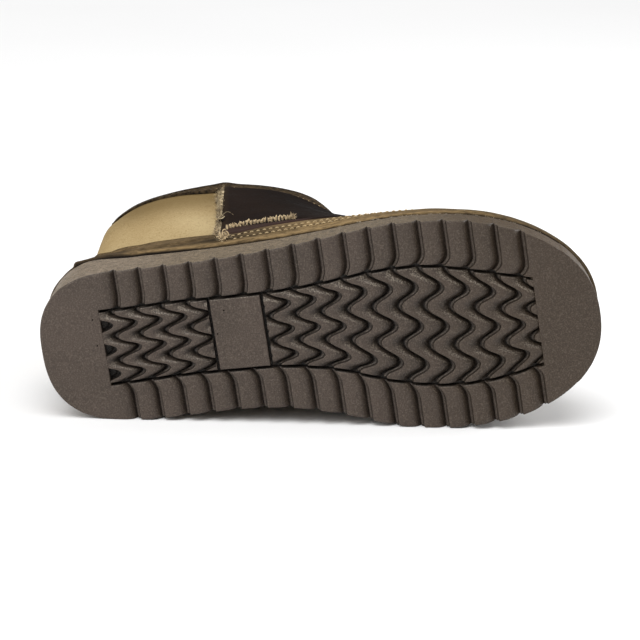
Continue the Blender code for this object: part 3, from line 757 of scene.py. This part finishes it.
    def end_arc(row, tip, centre, curve, share, drop):
        s0, y0, _ = row
        base = s0[0]
        corner = base + (tip - base) * 0.5
        side = np.where(turn < 0, -1, 1)
        most = np.where(turn < 0, sole_half(corner, -1), sole_half(corner, 1))
        y1 = np.sin(turn) * most
        wide = np.where(turn < 0, sole_half(centre, -1), sole_half(centre, 1))
        power = np.where(turn < 0, curve[0], curve[1])
        far = centre + (tip - centre) * np.maximum(0, 1 - (np.abs(y1) / wide) ** power) ** (1 / power)
        s = s0 + (far - s0) * share
        y = y0 + (y1 - y0) * share
        d = np.full(cols, float(drop))
        for e in (0, -1):
            s[e] = base + (corner - base) * share
            y[e] = side[e] * float(sole_half(s[e], side[e]))
        d[0] = d[-1] = .32
        return s, y, d

    arcs = ((.12, 0), (.25, 0), (.4, 0), (.55, 0), (.7, 0), (.82, 0), (.91, 0), (.96, 0), (.984, .04), (.995, .14), (1.0, .34))
    heel = [end_arc(heel_rows[0], -HEEL_FULL, HEEL_JOIN, HEEL_CURVE, q, d) for q, d in arcs][::-1]
    toe = [end_arc(toe_rows[-1], SOLE_LENGTH + TOE_FULL, FULL_WIDTH, TOE_CURVE, q, d) for q, d in arcs]
    rows = heel + heel_rows + [(st[i], yy[i], zz[i]) for i in range(n)] + toe_rows + toe
    st, yy, zz = (np.array([r[i] for r in rows]) for i in range(3))
    deep = np.concatenate([np.zeros((len(heel) + len(heel_rows), cols)), deep, np.zeros((len(toe_rows) + len(toe), cols))])
    x = st + LUG_SKEW * yy
    m = Mesh()
    surface = np.stack([x, yy, zz + spring(x)], -1)
    out = np.cross(np.gradient(surface, axis=0), np.gradient(surface, axis=1))
    out /= np.linalg.norm(out, axis=-1, keepdims=True) + 1e-9
    out *= -np.sign(out[..., 2:] + 1e-9)
    # painted highlight on the shoulders that face the lateral side, which lies up, most beside the lateral groove
    rubbed = np.clip((-out[..., 1] - .16) / .3, 0, 1) * (np.abs(out[..., 2]) > .5) * (zz < 3.2) * (zz > .05)
    share_of_field = np.zeros(cols)
    share_of_field[nl + 2:cols - nl - 2] = v
    rubbed = rubbed * np.where(np.arange(cols) < nl, .15, np.where(np.arange(cols) >= cols - nl, .25, np.interp(share_of_field, (.10, .22), (1, .5))))[None]
    # painted light and shade by slope: shoulders facing up get less painted shade, those facing down more
    lit, lee = np.clip((-out[..., 1] - .1) / .4, 0, 1), np.clip((out[..., 1] - .1) / .4, 0, 1)
    deep = np.where((deep > .05) & (zz > .1) & (zz < 4.3), deep * (1 - .42 * lit * (deep < .95)) + (1 - deep) * .30 * lee * (zz > .5), deep)
    # the tread carries its painted shade and highlight, and painted shade towards the toe
    b = m.add(surface, side=0.0, deep=deep, rubbed=rubbed, fore=ease((x - 130) / 120))
    m.grid(b)
    total = b.shape[0]
    rim = np.concatenate([b[0, :], b[1:, -1], b[-1, -2::-1], b[-2:0:-1, 0]])
    p = m.points()[rim]
    up = ((.025, .10), (.07, .16), (.20, .30), (.38, .62), (.56, .92), (.72, 1.15), (.86, 1.36), (.945, 1.55), (.985, 1.9), (1.0, 2.6))
    loops = [rim]
    straight = 1 - .95 * ease((36 - p[:, 0]) / 18) * ease((4 - p[:, 1]) / 14)
    for h, d in up:
        xi, yi = inset(p[:, 0], p[:, 1], d * straight)
        zi = p[:, 2] + (sole_top(xi) - .05 - p[:, 2]) * h
        # sidewall: painted light towards the heel, painted shade towards the toe
        loops.append(m.add(np.stack([xi, yi, zi], -1), side=1.0 if h > .05 else .75, deep=0.0, pale=ease((80 - xi) / 50), fore=ease((xi - 130) / 120)))
    loops = np.array(loops)
    m.grid(closed(loops), True)
    top = loops[-1]
    heel_top, med_top = top[:cols], top[cols - 1:cols - 1 + total]
    toe_top = top[cols + total - 2:2 * cols + total - 2]
    lat_top = np.concatenate([top[:1], top[2 * cols + total - 3:][::-1]])
    i = np.arange(1, total - 2)
    m.faces.append(np.stack([lat_top[i], lat_top[i + 1], med_top[i + 1], med_top[i]], -1))
    m.polygon(np.concatenate([[lat_top[1], med_top[1]], heel_top[::-1]]))
    m.polygon(np.concatenate([[med_top[-2], lat_top[-2]], toe_top[::-1]]))
    return piece("outsole_tread", m, RUBBER, "outsole", sharp=52, weld=True)


# ---------------------------------------------------------------- upper
AROUND = 360


def ring(mesh, shares, inner, outer, **notes):
    """Closed ring of leather between two depths; shares (rows, columns), depths the same."""
    angle = np.broadcast_to(np.arange(shares.shape[1]) * 2 * pi / shares.shape[1], shares.shape)
    o = closed(mesh.add(shell(angle, shares, outer), **notes))
    i = closed(mesh.add(shell(angle, shares, inner)))
    mesh.grid(o)
    mesh.grid(i, True)
    mesh.band(o[-1], i[-1])
    mesh.band(i[0], o[0])


def make_upper():
    rows = np.concatenate([np.linspace(0, .10, 8), np.linspace(.10, .905, 62)[1:], np.linspace(.905, .985, 8)[1:]])
    share = np.repeat(rows[:, None], AROUND, 1)
    grain = .05 * wander(len(rows), AROUND, 3, 5)
    a = from_heel(np.broadcast_to(np.arange(AROUND) * 2 * pi / AROUND, share.shape))
    shade = ease((share - .64) / .26) * .70 * (1 - .45 * ease((52 - a) / 16))
    # painted light on the side of the shaft, below the middle, near the seam
    pale = .75 * np.exp(-((a - 70) / 10) ** 2 - ((share - .55) / .15) ** 2)
    m = Mesh()
    ring(m, share, np.full(share.shape, -1.7), grain, shade=shade, pale=pale)
    return piece("shaft_nubuck", m, NUBUCK, "upper", sharp=60)


def make_lining():
    rows = np.linspace(.03, .972, 90)
    share = np.repeat(rows[:, None], AROUND, 1)
    angle = np.broadcast_to(np.arange(AROUND) * 2 * pi / AROUND, share.shape)
    pile = .55 * wander(len(rows), AROUND, 1.1, 8) + .35 * wander(len(rows), AROUND, 3.0, 9)
    m = Mesh()
    ring(m, share, np.clip(-3.7 + pile * .55, -4.9, -2.6), np.full(share.shape, -1.8))
    # single curls that stand out of the pile, most of them near the collar
    r = np.random.default_rng(11)
    n = 5200
    a = r.uniform(0, 2 * pi, n)
    s = .965 - .62 * r.uniform(0, 1, n) ** 1.8
    root = shell(a, s, np.full(n, -3.5))
    way = -outward(a, s) + r.normal(0, .45, (n, 3))
    way /= np.linalg.norm(way, axis=1, keepdims=True)
    hairs(m, root, way, r.uniform(1.0, 2.1, n), r.uniform(.35, .6, n), r.normal(0, .55, (n, 3)), 3)
    return piece("fleece_lining", m, FLEECE, turn=False)


def make_insole():
    d = UPPER_WALL - .7
    cols, rings = 180, 34
    angle = np.arange(cols) * 2 * pi / cols
    edge = shell(angle, np.zeros(cols), np.full(cols, -d))
    mid = np.stack([edge[:, 0], np.zeros(cols), edge[:, 2]], -1)
    m = Mesh()
    t = np.linspace(0, 1, rings)[:, None, None] ** .8
    half = edge.copy()
    spine = np.stack([np.interp(edge[:, 0], (edge[:, 0].min(), edge[:, 0].max()), (18, 244)), np.zeros(cols), np.zeros(cols)], -1)
    top = half * (1 - t) + spine * t
    fuzz = .30 * wander(rings, cols, 1.2, 13)
    top[..., 2] = sole_top(top[..., 0]) + 4.1 + fuzz - 1.0 * (1 - np.clip(t[..., 0] * 12, 0, 1)) ** 2
    low = half.copy()
    low[:, 2] = sole_top(low[:, 0]) + .3
    a = closed(m.add(low[None]))
    g = closed(m.add(top))
    m.band(a[0], g[0])
    m.grid(g)
    c = g[-1][:-1]
    h = cols // 2
    i = np.arange(1, h - 1)
    m.faces.append(np.stack([c[i], c[i + 1], c[cols - i - 1], c[cols - i]], -1))
    m.faces.append(np.array([[c[0], c[1], c[cols - 1]], [c[h - 1], c[h], c[h + 1]]]))
    b = a[0][:-1]
    m.faces.append(np.stack([b[cols - i], b[cols - i - 1], b[i + 1], b[i]], -1))
    m.faces.append(np.array([[b[cols - 1], b[1], b[0]], [b[h + 1], b[h], b[h - 1]]]))
    return piece("fleece_insole", m, FLEECE, "insole", sharp=60, turn=True)


def heel_band(angle, share):
    """The band that stands proud of the foxing low on each side of the heel, with a blunt rear end."""
    a = from_heel(angle)
    run = np.interp(a, (0, 6, 10, 14, 18, 21, 25.9, 26.5, 27.1, 28.0, 29.4, 31.8, 35.0, 39.0, 44.0, 48.0),
                    (1.6, 2.7, 2.9, 2.6, 2.1, 1.7, 1.4, 1.8, 2.7, 2.9, 2.2, 1.5, 1.15, .55, .15, 0))
    run = run * np.where(np.sin(angle) > 0, .5, 1.0)
    high = np.interp(share, (0, .015, .04, .145, .175, .195, .21), (.6, .85, 1, 1, .85, .4, 0))
    return run * high


def make_foxing():
    cols = 480
    angle = np.arange(cols) * 2 * pi / cols
    edge = foxing_edge(angle)
    foot = np.array((0, .006, .014, .025, .038, .052, .068, .085, .105, .125, .145, .16, .175, .185, .195, .21))
    rest = np.array((.04, .12, .22, .34, .46, .58, .70, .80, .88, .94, .97, .985, 1.0))
    low = np.minimum(foot[-1], edge * .82)
    share = np.concatenate([foot[:, None] / foot[-1] * low, low + (edge - low) * rest[:, None]])
    ang = np.broadcast_to(angle, share.shape)
    left = (edge - share) * 100.0                                     # about millimetres to the upper edge
    a = from_heel(ang)
    roll = np.interp(share, (0, .01, .025, .05, .08, .12), (-1.0, -.1, .55, .85, .5, 0))
    thick = ease((36 - a) / 8)                                        # the upper edge stands proud around the heel
    edge_round = np.interp(left, (0, .25, .7, 1.6), (-1.1, -.5, -.12, 0)) * (1 - .8 * thick) + .55 * thick * np.interp(left, (0, .5, 2.0, 4.0), (.6, 1, .8, 0))
    nap = .06 * wander(len(share), cols, 2.5, 17) + .10 * wander(len(share), cols, 5, 18) * np.interp(share, (0, .03, .08), (0, 1, 1))
    toe = np.interp(a, (112, 120, 128, 136, 142, 150, 162, 170, 175, 180), (0, .4, .8, .4, .1, .15, .45, .7, .9, 1.0)) * np.exp(-((share - .10) / .07) ** 2)
    toe = toe + np.interp(a, (112, 120, 130, 138, 144), (0, .4, .45, .5, 0)) * np.exp(-((share - .17) / .07) ** 2)
    band = heel_band(ang, share)
    out = SEAT + FOXING + roll + edge_round + nap + toe + band
    # painted highlight on the roll along the sole, and a wider one further forward on the side
    roll_highlight = np.interp(share, (.0, .018, .045, .08, .12), (0, .35, .75, .45, 0)) * np.interp(a, (20, 38, 60, 74, 84, 92, 102), (.25, .85, 1, .85, 1, 1.2, 1))
    roll_highlight = roll_highlight + .8 * np.exp(-((a - 92) / 12) ** 2) * np.interp(share, (.02, .08, .3, .4), (0, 1, .8, 0))
    tone_band = ease(band / .25) * (a < 47)
    # painted shade in a crease on the side
    fold = .5 * np.exp(-((share - .155) / .032) ** 2) * np.interp(a, (46, 53, 70, 76), (0, 1, 1, 0))
    # painted shadow in the gap where the foxing meets the sole
    gap_shadow = np.where((a < 64) | (a > 98), np.interp(share, (0, .014, .024, .034), (1, 1, .4, 0)), np.interp(share, (0, .012, .019, .026), (1, 1, .4, 0)))
    # painted shade at the toe, its line broken by noise
    toe_shade_line = share + .03 * wander(len(share), cols, 9, 19) - .08 * ease((a - 118) / 40)
    toe_shade = (.40 * ease((a - 120) / 24) + .24 * ease((a - 136) / 30)) * ease((.10 - toe_shade_line) / .08) + .2 * ease((a - 112) / 14) * np.interp(share, (.25, .35), (1, 0))
    # painted shade on the foxing below its upper edge, behind the stitches and under the knot
    under_shade = .46 * np.interp(share, (.095, .135, .27, .36), (0, 1, 1, 0)) * np.interp(a, (61, 67, 80, 89), (0, 1, 1, 0))
    rim = np.interp(share, (.135, .165, .2), (0, .85, 1)) * tone_band
    # dark cut edge, with the painted shadow and shade added in
    edge_and_shade = np.clip(np.interp(left, (0, .6, 1.6), (.9, .55, 0)) + gap_shadow + fold + toe_shade + under_shade + rim, 0, 1)
    m = Mesh()
    ring(m, share, np.full(share.shape, SEAT), np.maximum(out, SEAT + .25), roll=np.clip(roll_highlight, 0, 1), edge=edge_and_shade, band=tone_band)
    return piece("vamp_foxing_suede", m, SUEDE, "vamp_foxing", sharp=60)


def make_front_panel():
    across = np.concatenate([[-1, -.997, -.99, -.975], np.linspace(-.95, .95, 150), [.975, .99, .997, 1]])
    low = np.full(len(across), 0.3)
    for _ in range(8):
        low = foxing_edge(pi + across * (pi - seam_angle(low))) + 0.0015
    t = np.concatenate([[0, .006, .016, .035], np.linspace(.06, .95, 58), [.97, .985, .995, 1]])
    top = np.full(len(across), 0.9)
    for _ in range(8):
        top = binding_edge(pi + across * (pi - seam_angle(top))) - .004
    share = low + (top - low) * t[:, None]
    angle = pi + across * (pi - seam_angle(share))
    side_edge = (1 - np.abs(across))[None] * 100                        # about millimetres to the seam
    rim = np.interp(np.minimum(side_edge, (t * 60)[:, None]), (0, .3, 1.0, 2.0), (-1.0, -.4, -.08, 0))
    proud = .9 * np.exp(-(side_edge / 5.0) ** 2) * ease((share - .30) / .1)
    a = from_heel(angle)
    line = tuft_share(angle)
    on = ease((95 - a) / 4)
    groove = -.75 * on * np.exp(-((share - line) / .014) ** 2)
    strip = on * ease((line - share) / .02 + .5) * .85
    nap = .05 * wander(len(t), len(across), 2.5, 23)
    out = SEAT + PANEL + rim + proud + groove + nap
    edge = np.broadcast_to(np.interp(side_edge, (0, .8, 2.0), (.8, .5, 0)), share.shape) * .35
    # painted shade towards the toe
    fore = .55 * ease((a - 88) / 30)
    m = Mesh()
    o = m.add(shell(angle, share, np.maximum(out, SEAT + .3)), strip=strip, edge=edge, fore=fore)
    i = m.add(shell(angle, share, np.full(share.shape, SEAT)))
    m.grid(o)
    m.grid(i, True)
    m.band(o[-1], i[-1])
    m.band(i[0], o[0])
    m.band(o[:, 0], i[:, 0])
    m.band(i[:, -1], o[:, -1])
    return piece("front_panel_leather", m, LEATHER, "front_panel", sharp=60)


def make_binding():
    cols = AROUND
    angle = np.arange(cols) * 2 * pi / cols
    a = from_heel(angle)
    bump = np.exp(-((a - 92.8) / 4.2) ** 2)                              # it rides over the side seam
    wavy = .16 * wander(1, cols, 7, 31)[0]
    edge, thick = binding_edge(angle), binding_edge(angle, 2)
    # outside of the fold: share of its drop, depth from the skin, height above the collar, tone of its edge
    outer = ((0, .12, 0, .3), (0, .42, 0, .25), (.057, .80, 0, .15), (.07, 1.15, 0, .05), (.26, 1.30, 0, 0), (.49, 1.40, 0, 0), (.72, 1.50, 0, .1),
             (.87, 1.55, 0, .5), (1.0, 1.40, .35, .85), (1.0, .9, 1.10, .95), (1.0, 0.1, 1.55, 1))
    inner = ((1.0, -1.2, 1.75, .95), (1.0, -2.6, 1.75, .9), (1.0, -4.2, 1.55, .75), (1.0, -5.1, 1.1, .6), (1.0, -5.7, .35, .4),
             (.985, -5.85, 0, .3), (.97, -5.8, 0, .3), (BINDING_INSIDE + .003, -5.6, 0, .6), (BINDING_INSIDE, -5.2, 0, 1), (BINDING_INSIDE, -4.55, 0, 1))
    m = Mesh()
    loops = []
    for q, d, h, tone in outer:
        extra = (bump * .9 + wavy * thick) * (d > .3)
        p = shell(angle, edge + (1 - edge) * q, d * (thick if d > .3 else 1) + extra)
        p[:, 2] += h
        loops.append(m.add(p, edge=tone))
    for s, d, h, tone in inner:
        p = shell(angle, np.full(cols, s), np.full(cols, d))
        p[:, 2] += h
        loops.append(m.add(p, edge=tone))
    back = [(BINDING_INSIDE, -4.5, 0), (.99, -4.5, 0), (1.0, -4.4, .3), (1.0, .1, .3), (.99, .1, 0)]
    for s, d, h in back:
        p = shell(angle, np.full(cols, s), np.full(cols, d))
        p[:, 2] += h
        loops.append(m.add(p, edge=1.0))
    loops.append(loops[0])
    m.grid(closed(np.array(loops)))
    return piece("collar_binding_suede", m, EDGING, "collar_binding", sharp=70)


# ---------------------------------------------------------------- stitches, seams, fibres
def surface_run(angle, share, d):
    """Points, and the outward units there, along a line on the upper; angle in radians."""
    return shell(angle, share, np.broadcast_to(np.asarray(d, float), angle.shape)), outward(angle, share)


def even(angle, share, d, pitch):
    """Angles and shares along a line at an even pitch in millimetres."""
    p, _ = surface_run(angle, share, d)
    run = np.concatenate([[0], np.cumsum(np.linalg.norm(np.diff(p, axis=0), axis=1))])
    at = np.arange(0, run[-1], pitch)
    return np.interp(at, run, angle), np.interp(at, run, share)


def disc(mesh, centre, u, v, n=7):
    """Small domed disc: the dark mouth of a hole."""
    w = np.arange(n) * 2 * pi / n
    up = np.cross(u, v)
    up /= np.linalg.norm(up)
    idx = mesh.add(np.concatenate([[centre + up * .04], centre + np.cos(w)[:, None] * u + np.sin(w)[:, None] * v]))
    mesh.faces.append(np.stack([np.full(n, idx[0]), idx[1:], np.roll(idx[1:], -1)], -1))


def make_stitches():
    m, pricks = Mesh(), Mesh()
    r = np.random.default_rng(41)
    for row in (1, 2):
        a = np.radians(np.linspace(71.4, 288.6, 900))
        s = smooth(from_heel(a), STITCH_ROWS[:, 0], STITCH_ROWS[:, row])
        a, s = even(a, s, SEAT + FOXING, 3.1)
        top = SEAT + FOXING + .02
        p, up = surface_run(a, s, top)
        for i in range(len(p) - 1):
            step = p[i + 1] - p[i]
            side = np.cross(up[i], step) / np.linalg.norm(step)
            j = r.normal(0, .10, 2)
            stitch(m, p[i] + step * .12 + side * j[0], p[i] + step * .72 + side * j[1], up[i], .27, .20)
            # a dark disc after each stitch: painted shade in its needle prick
            disc(pricks, p[i] + step * .92 + up[i] * .22, step * .20, side * .46)
    piece("foxing_stitches", m, CREAM, turn=False)
    piece("stitch_pricks", pricks, HOLE, turn=False)

    m = Mesh()
    a = np.radians(np.linspace(0, 360, 1400))
    s = binding_edge(a) + (1 - binding_edge(a)) * .22 + .002 * np.sin(a * 9)
    a, s = even(a, s, 1.3, 3.0)
    p, up = surface_run(a, s, 1.28 * binding_edge(a, 2) + .04 + .9 * np.exp(-((from_heel(a) - 92.8) / 4.2) ** 2))
    dim = .9 * ease((92 - from_heel(a)) / 8)
    for i in range(len(p) - 1):
        step = p[i + 1] - p[i]
        stitch(m, p[i] + step * .14, p[i] + step * .74, up[i], .27, .20, dim=dim[i])
    piece("binding_stitches", m, TAN, turn=False)


def make_seams():
    yarn, holes, wool, knot = Mesh(), Mesh(), Mesh(), Mesh()
    r = np.random.default_rng(53)
    for side in (1, -1):                                                  # medial, lateral
        # frayed slit: tufts that stand out of it, holes between them drawn as dark discs of painted shade
        a0 = np.radians(np.linspace(71.8, 90.0, 200))
        a = a0 if side > 0 else 2 * pi - a0
        a, s = even(a, tuft_share(a), SEAT + PANEL, 1.75)
        p, up = surface_run(a, s, SEAT + PANEL - .75)
        along = np.gradient(p, axis=0)
        along /= np.linalg.norm(along, axis=1, keepdims=True)
        over = np.cross(along, up)
        for i in range(len(p)):
            n = 4
            lean = r.normal(0, .38)
            root = p[i] + along[i] * r.normal(0, .22, (n, 1)) + over[i] * r.normal(0, .25, (n, 1))
            way = up[i] + along[i] * (lean + r.normal(0, .22, (n, 1))) + over[i] * r.normal(0, .42, (n, 1))
            way /= np.linalg.norm(way, axis=1, keepdims=True)
            hairs(yarn, root, way, r.uniform(1.2, 2.3, n), r.uniform(.5, .8, n), r.normal(0, .25, (n, 3)), 3)
            for lean in (.55, -.45, .1) if i < .4 * len(p) else (.45, -.35):
                c = p[i] + up[i] * .3 + along[i] * r.normal(0, .15) + over[i] * r.normal(0, .5)
                tip = along[i] * (lean + r.normal(0, .25)) * 1.5 + over[i] * r.normal(0, .5)
                tall = r.uniform(1.9, 2.9)
                q = np.array((0, .35, .7, 1.0))[:, None]
                tube(yarn, c + up[i] * tall * q + tip * q ** 1.5, np.array((.46, .52, .42, .16)), 5)
            w = np.arange(7) * 2 * pi / 7
            # dark discs on both sides: painted shade in the needle holes
            for off in (1.9, -1.9):
                ctr = p[i] + up[i] * .83 + over[i] * off + along[i] * 1.0
                idx = holes.add(np.concatenate([[ctr + up[i] * .03], ctr + .80 * (np.cos(w)[:, None] * along[i] + np.sin(w)[:, None] * over[i])]))
                holes.faces.append(np.stack([np.full(7, idx[0]), idx[1:], np.roll(idx[1:], -1)], -1))
        # its end: a small knot of yarn
        end, upe = p[-1] + up[-1] * 1.2, up[-1]
        n = 110
        way = r.normal(0, 1, (n, 3)) + upe * .6
        way /= np.linalg.norm(way, axis=1, keepdims=True)
        hairs(yarn, np.repeat(end[None], n, 0) + along[-1] * r.uniform(-.4, 2.2, (n, 1)), way, r.uniform(1.1, 2.0, n), r.uniform(.45, .7, n), r.normal(0, .4, (n, 3)), 3)

        # raw shearling edge of the front panel along the side seam
        share = np.linspace(.30, .897, 120)
        seam = seam_angle(share)
        seam = seam if side > 0 else 2 * pi - seam
        step = -side * 1.0                                                # towards the heel
        wide = 2.75 + .5 * wander(1, 120, 4, 61 + side)[0]
        xs = (smooth(share, ROW_SHARE, ROWS[:, 2]) - smooth(share, ROW_SHARE, ROWS[:, 0])) / 2 * np.sin(seam_angle(share))
        fold = ((.06, .35), (-.10, 2.9), (-.02, 3.45), (.18, 3.35), (.38, 2.7), (.60, 1.75), (.82, .95), (1.0, .30), (1.0, .02))
        loops = []
        lump = wander(120, len(fold), 1.2, 71 + side)
        for j, (u, d) in enumerate(fold):
            ang = seam + step * (u * wide) / xs
            bulge = (.35 * lump[:, j]) * (.3 < u < .95) + .25 * lump[:, j] * (-.05 < u < .3)
            loops.append(wool.add(shell(ang, share, np.maximum(d + bulge, .02))))
        g = np.array(loops)
        wool.grid(g if side > 0 else g[::-1])
        n = 2600
        i = r.integers(0, 120, n)
        u = r.uniform(-.08, 1.0, n) ** 1.0
        d = np.interp(u, [q[0] for q in fold[1:8]], [q[1] for q in fold[1:8]]) - .25
        ang = seam[i] + step * (u * wide[i]) / xs[i]
        sh = share[i] + r.uniform(-.003, .003, n)
        root = shell(ang, sh, d)
        back = shell(ang + step * .01, sh, d) - root
        back /= np.linalg.norm(back, axis=1, keepdims=True)
        way = outward(ang, sh) * r.uniform(.2, 1.0, (n, 1)) + back * r.uniform(.1, 1.0, (n, 1)) + r.normal(0, .45, (n, 3))
        way /= np.linalg.norm(way, axis=1, keepdims=True)
        hairs(wool, root, way, r.uniform(.6, 1.7, n), r.uniform(.16, .30, n), r.normal(0, .5, (n, 3)), 3)
        # a pulled hole in that edge, its inside dark with painted shade, with one long curl of wool
        base = 286.1 if side < 0 else 73.9
        ha, hs = np.array([radians(base)]), np.array([.528])
        c, upc = surface_run(ha, hs, SEAT + PANEL + 1.15)
        c, upc = c[0], upc[0]
        t1 = np.array([1.0, 0, 0]) - upc * upc[0]
        t1 /= np.linalg.norm(t1)
        t2 = np.cross(upc, t1)
        w = np.arange(14) * 2 * pi / 14
        idx = holes.add(np.concatenate([[c + upc * .12], c + upc * .10 + 1.6 * np.cos(w)[:, None] * t1 + 2.4 * np.sin(w)[:, None] * t2, c - upc * .8 + 1.75 * np.cos(w)[:, None] * t1 + 2.6 * np.sin(w)[:, None] * t2]))
        holes.faces.append(np.stack([np.full(14, idx[0]), idx[1:15], np.roll(idx[1:15], -1)], -1))
        holes.band(np.append(idx[15:], idx[15]), np.append(idx[1:15], idx[1]))
        q = np.linspace(0, 1, 26)[:, None]
        curl = c + upc * (.4 + 1.9 * np.sin(q * pi)) + t1 * (-.6 + 6.4 * q) + t2 * (2.6 * np.sin(q * 2.3) * -side)
        tube(wool, curl, .12 - .05 * q[:, 0], 5)
        w2 = np.linspace(.3, 5.6, 22)[:, None]
        tube(wool, c + upc * (.5 + .12 * w2) + t1 * 1.5 * np.cos(w2) + t2 * 2.0 * np.sin(w2), .26, 5)
        # knot of thread ends where the side seam meets the foxing
        ka = np.radians(np.array((68.8, 69.6, 70.2, 71.0)))
        ka = ka if side > 0 else 2 * pi - ka
        ks = np.array((.300, .175, .115, .150))
        kp, ku = surface_run(ka, ks, SEAT + FOXING + .2)
        for j in range(34):
            c0 = kp[j % 4] + r.normal(0, 1.1, 3)
            c1 = c0 + r.normal(0, 1.5, 3) + ku[j % 4] * .6
            top = (c0 + c1) / 2 + ku[j % 4] * r.uniform(.5, 1.4) + r.normal(0, .5, 3)
            q = np.linspace(0, 1, 10)[:, None]
            tube(knot, c0 * (1 - q) ** 2 + 2 * top * q * (1 - q) + c1 * q ** 2, r.uniform(.26, .40), 5)
        n = 150
        j = r.integers(0, 4, n)
        way = ku[j] * r.uniform(.3, 1, (n, 1)) + r.normal(0, .6, (n, 3))
        way /= np.linalg.norm(way, axis=1, keepdims=True)
        hairs(knot, kp[j] + r.normal(0, 1.2, (n, 3)), way, r.uniform(.8, 1.7, n), r.uniform(.26, .42, n), r.normal(0, .4, (n, 3)), 3)
    piece("frayed_slit_yarn", yarn, TUFT, turn=False)
    piece("needle_holes", holes, HOLE, turn=False)
    piece("raw_shearling_edges", wool, RAW, turn=False)
    piece("thread_knots", knot, TUFT, turn=False)


def make_welt_fray():
    m = Mesh()
    r = np.random.default_rng(67)
    n = 640
    for side in (1, -1):
        clump = r.triangular(92, 124, 156, 90)
        a = np.radians(r.choice(clump, n) + r.normal(0, .22, n))
        a = a if side > 0 else 2 * pi - a
        share = r.uniform(.006, .020, n)
        d = SEAT + FOXING + np.interp(share, (0, .01, .025), (-1.0, -.1, .55)) + .05
        root = shell(a, share, d)
        way = outward(a, share) * r.uniform(.1, .4, (n, 1)) + r.normal(0, .5, (n, 3)) + np.array((0, 0, -.7))
        way /= np.linalg.norm(way, axis=1, keepdims=True)
        hairs(m, root, way, r.uniform(.3, .7, n), r.uniform(.28, .5, n), r.normal(0, .4, (n, 3)), 2)
    return piece("welt_fray", m, FRAY, turn=False)


def make_mould_dots():
    m = Mesh()
    for x, y in MOULD_DOTS:
        disc(m, np.array((x, y, -.03)), np.array((0, .42, 0)), np.array((.42, 0, 0)), 9)
    return piece("mould_dots", m, HOLE, turn=False)


make_outsole()
make_upper()
make_lining()
make_insole()
make_foxing()
make_front_panel()
make_binding()
make_stitches()
make_seams()
make_welt_fray()
make_mould_dots()


# ---------------------------------------------------------------- floor, light, camera
def make_floor():
    me = bpy.data.meshes.new("floor")
    s = 6.0
    me.from_pydata([(-s, -s, 0), (s, -s, 0), (s, s, 0), (-s, s, 0)], [], [(0, 1, 2, 3)])
    k = Look("pale_floor", .9, spec=.1)
    k.colour(k.mix(k.ramp(k.noise(400, 2), .3, .7), (.85, .85, .85, 1), (.87, .87, .87, 1)))
    me.materials.append(k.mat)
    ob = bpy.data.objects.new("floor", me)
    bpy.context.scene.collection.objects.link(ob)


def aim(ob, at):
    ob.rotation_euler = (Vector(at) - ob.location).to_track_quat("-Z", "Y").to_euler()


def lamp(name, place, at, size, power):
    li = bpy.data.lights.new(name, "AREA")
    li.shape, li.size, li.energy = "DISK", size, power
    ob = bpy.data.objects.new(name, li)
    ob.location = place
    bpy.context.scene.collection.objects.link(ob)
    aim(ob, at)


def sun(name, place, spread, strength):
    li = bpy.data.lights.new(name, "SUN")
    li.angle, li.energy = radians(spread), strength
    ob = bpy.data.objects.new(name, li)
    ob.location = place
    bpy.context.scene.collection.objects.link(ob)
    aim(ob, (0, 0, 0))


make_floor()
world = bpy.data.worlds.new("studio")
world.use_nodes = True
world.node_tree.nodes["Background"].inputs["Color"].default_value = (1, 1, 1, 1)
world.node_tree.nodes["Background"].inputs["Strength"].default_value = 0.33
bpy.context.scene.world = world
bpy.context.scene.view_settings.view_transform = "Standard"
lamp("key", (-.8, -.75, .5), (0, 0, .05), .7, 5.2)
sun("top", (-0.10, -0.48, 1.0), 55, 2.55)
lamp("right", (.9, .35, .5), (.10, -.03, 0), .8, 9.0)

AZ, EL, ROLL, FAR, FOCAL, AT_X, AT_Y = radians(3.0), 0.228638, 0.0143103, 1.5, 3037.6, -0.0028986, 0.0339329
back = Vector((sin(AZ) * cos(EL), -cos(AZ) * cos(EL), sin(EL)))
right = Vector((cos(AZ), sin(AZ), 0))
up = back.cross(right)
r2 = right * cos(ROLL) + up * sin(ROLL)
u2 = -right * sin(ROLL) + up * cos(ROLL)
cam = bpy.data.cameras.new("camera")
cam.sensor_width, cam.sensor_fit = 36.0, "HORIZONTAL"
cam.lens = FOCAL / 640 * 36.0
cam.clip_start, cam.clip_end = 0.05, 50
eye = bpy.data.objects.new("camera", cam)
turn = Matrix((r2, u2, back)).transposed().to_4x4()
turn.translation = back * FAR + r2 * AT_X + u2 * AT_Y
eye.matrix_world = turn
bpy.context.scene.collection.objects.link(eye)
bpy.context.scene.camera = eye

bpy.context.view_layer.update()
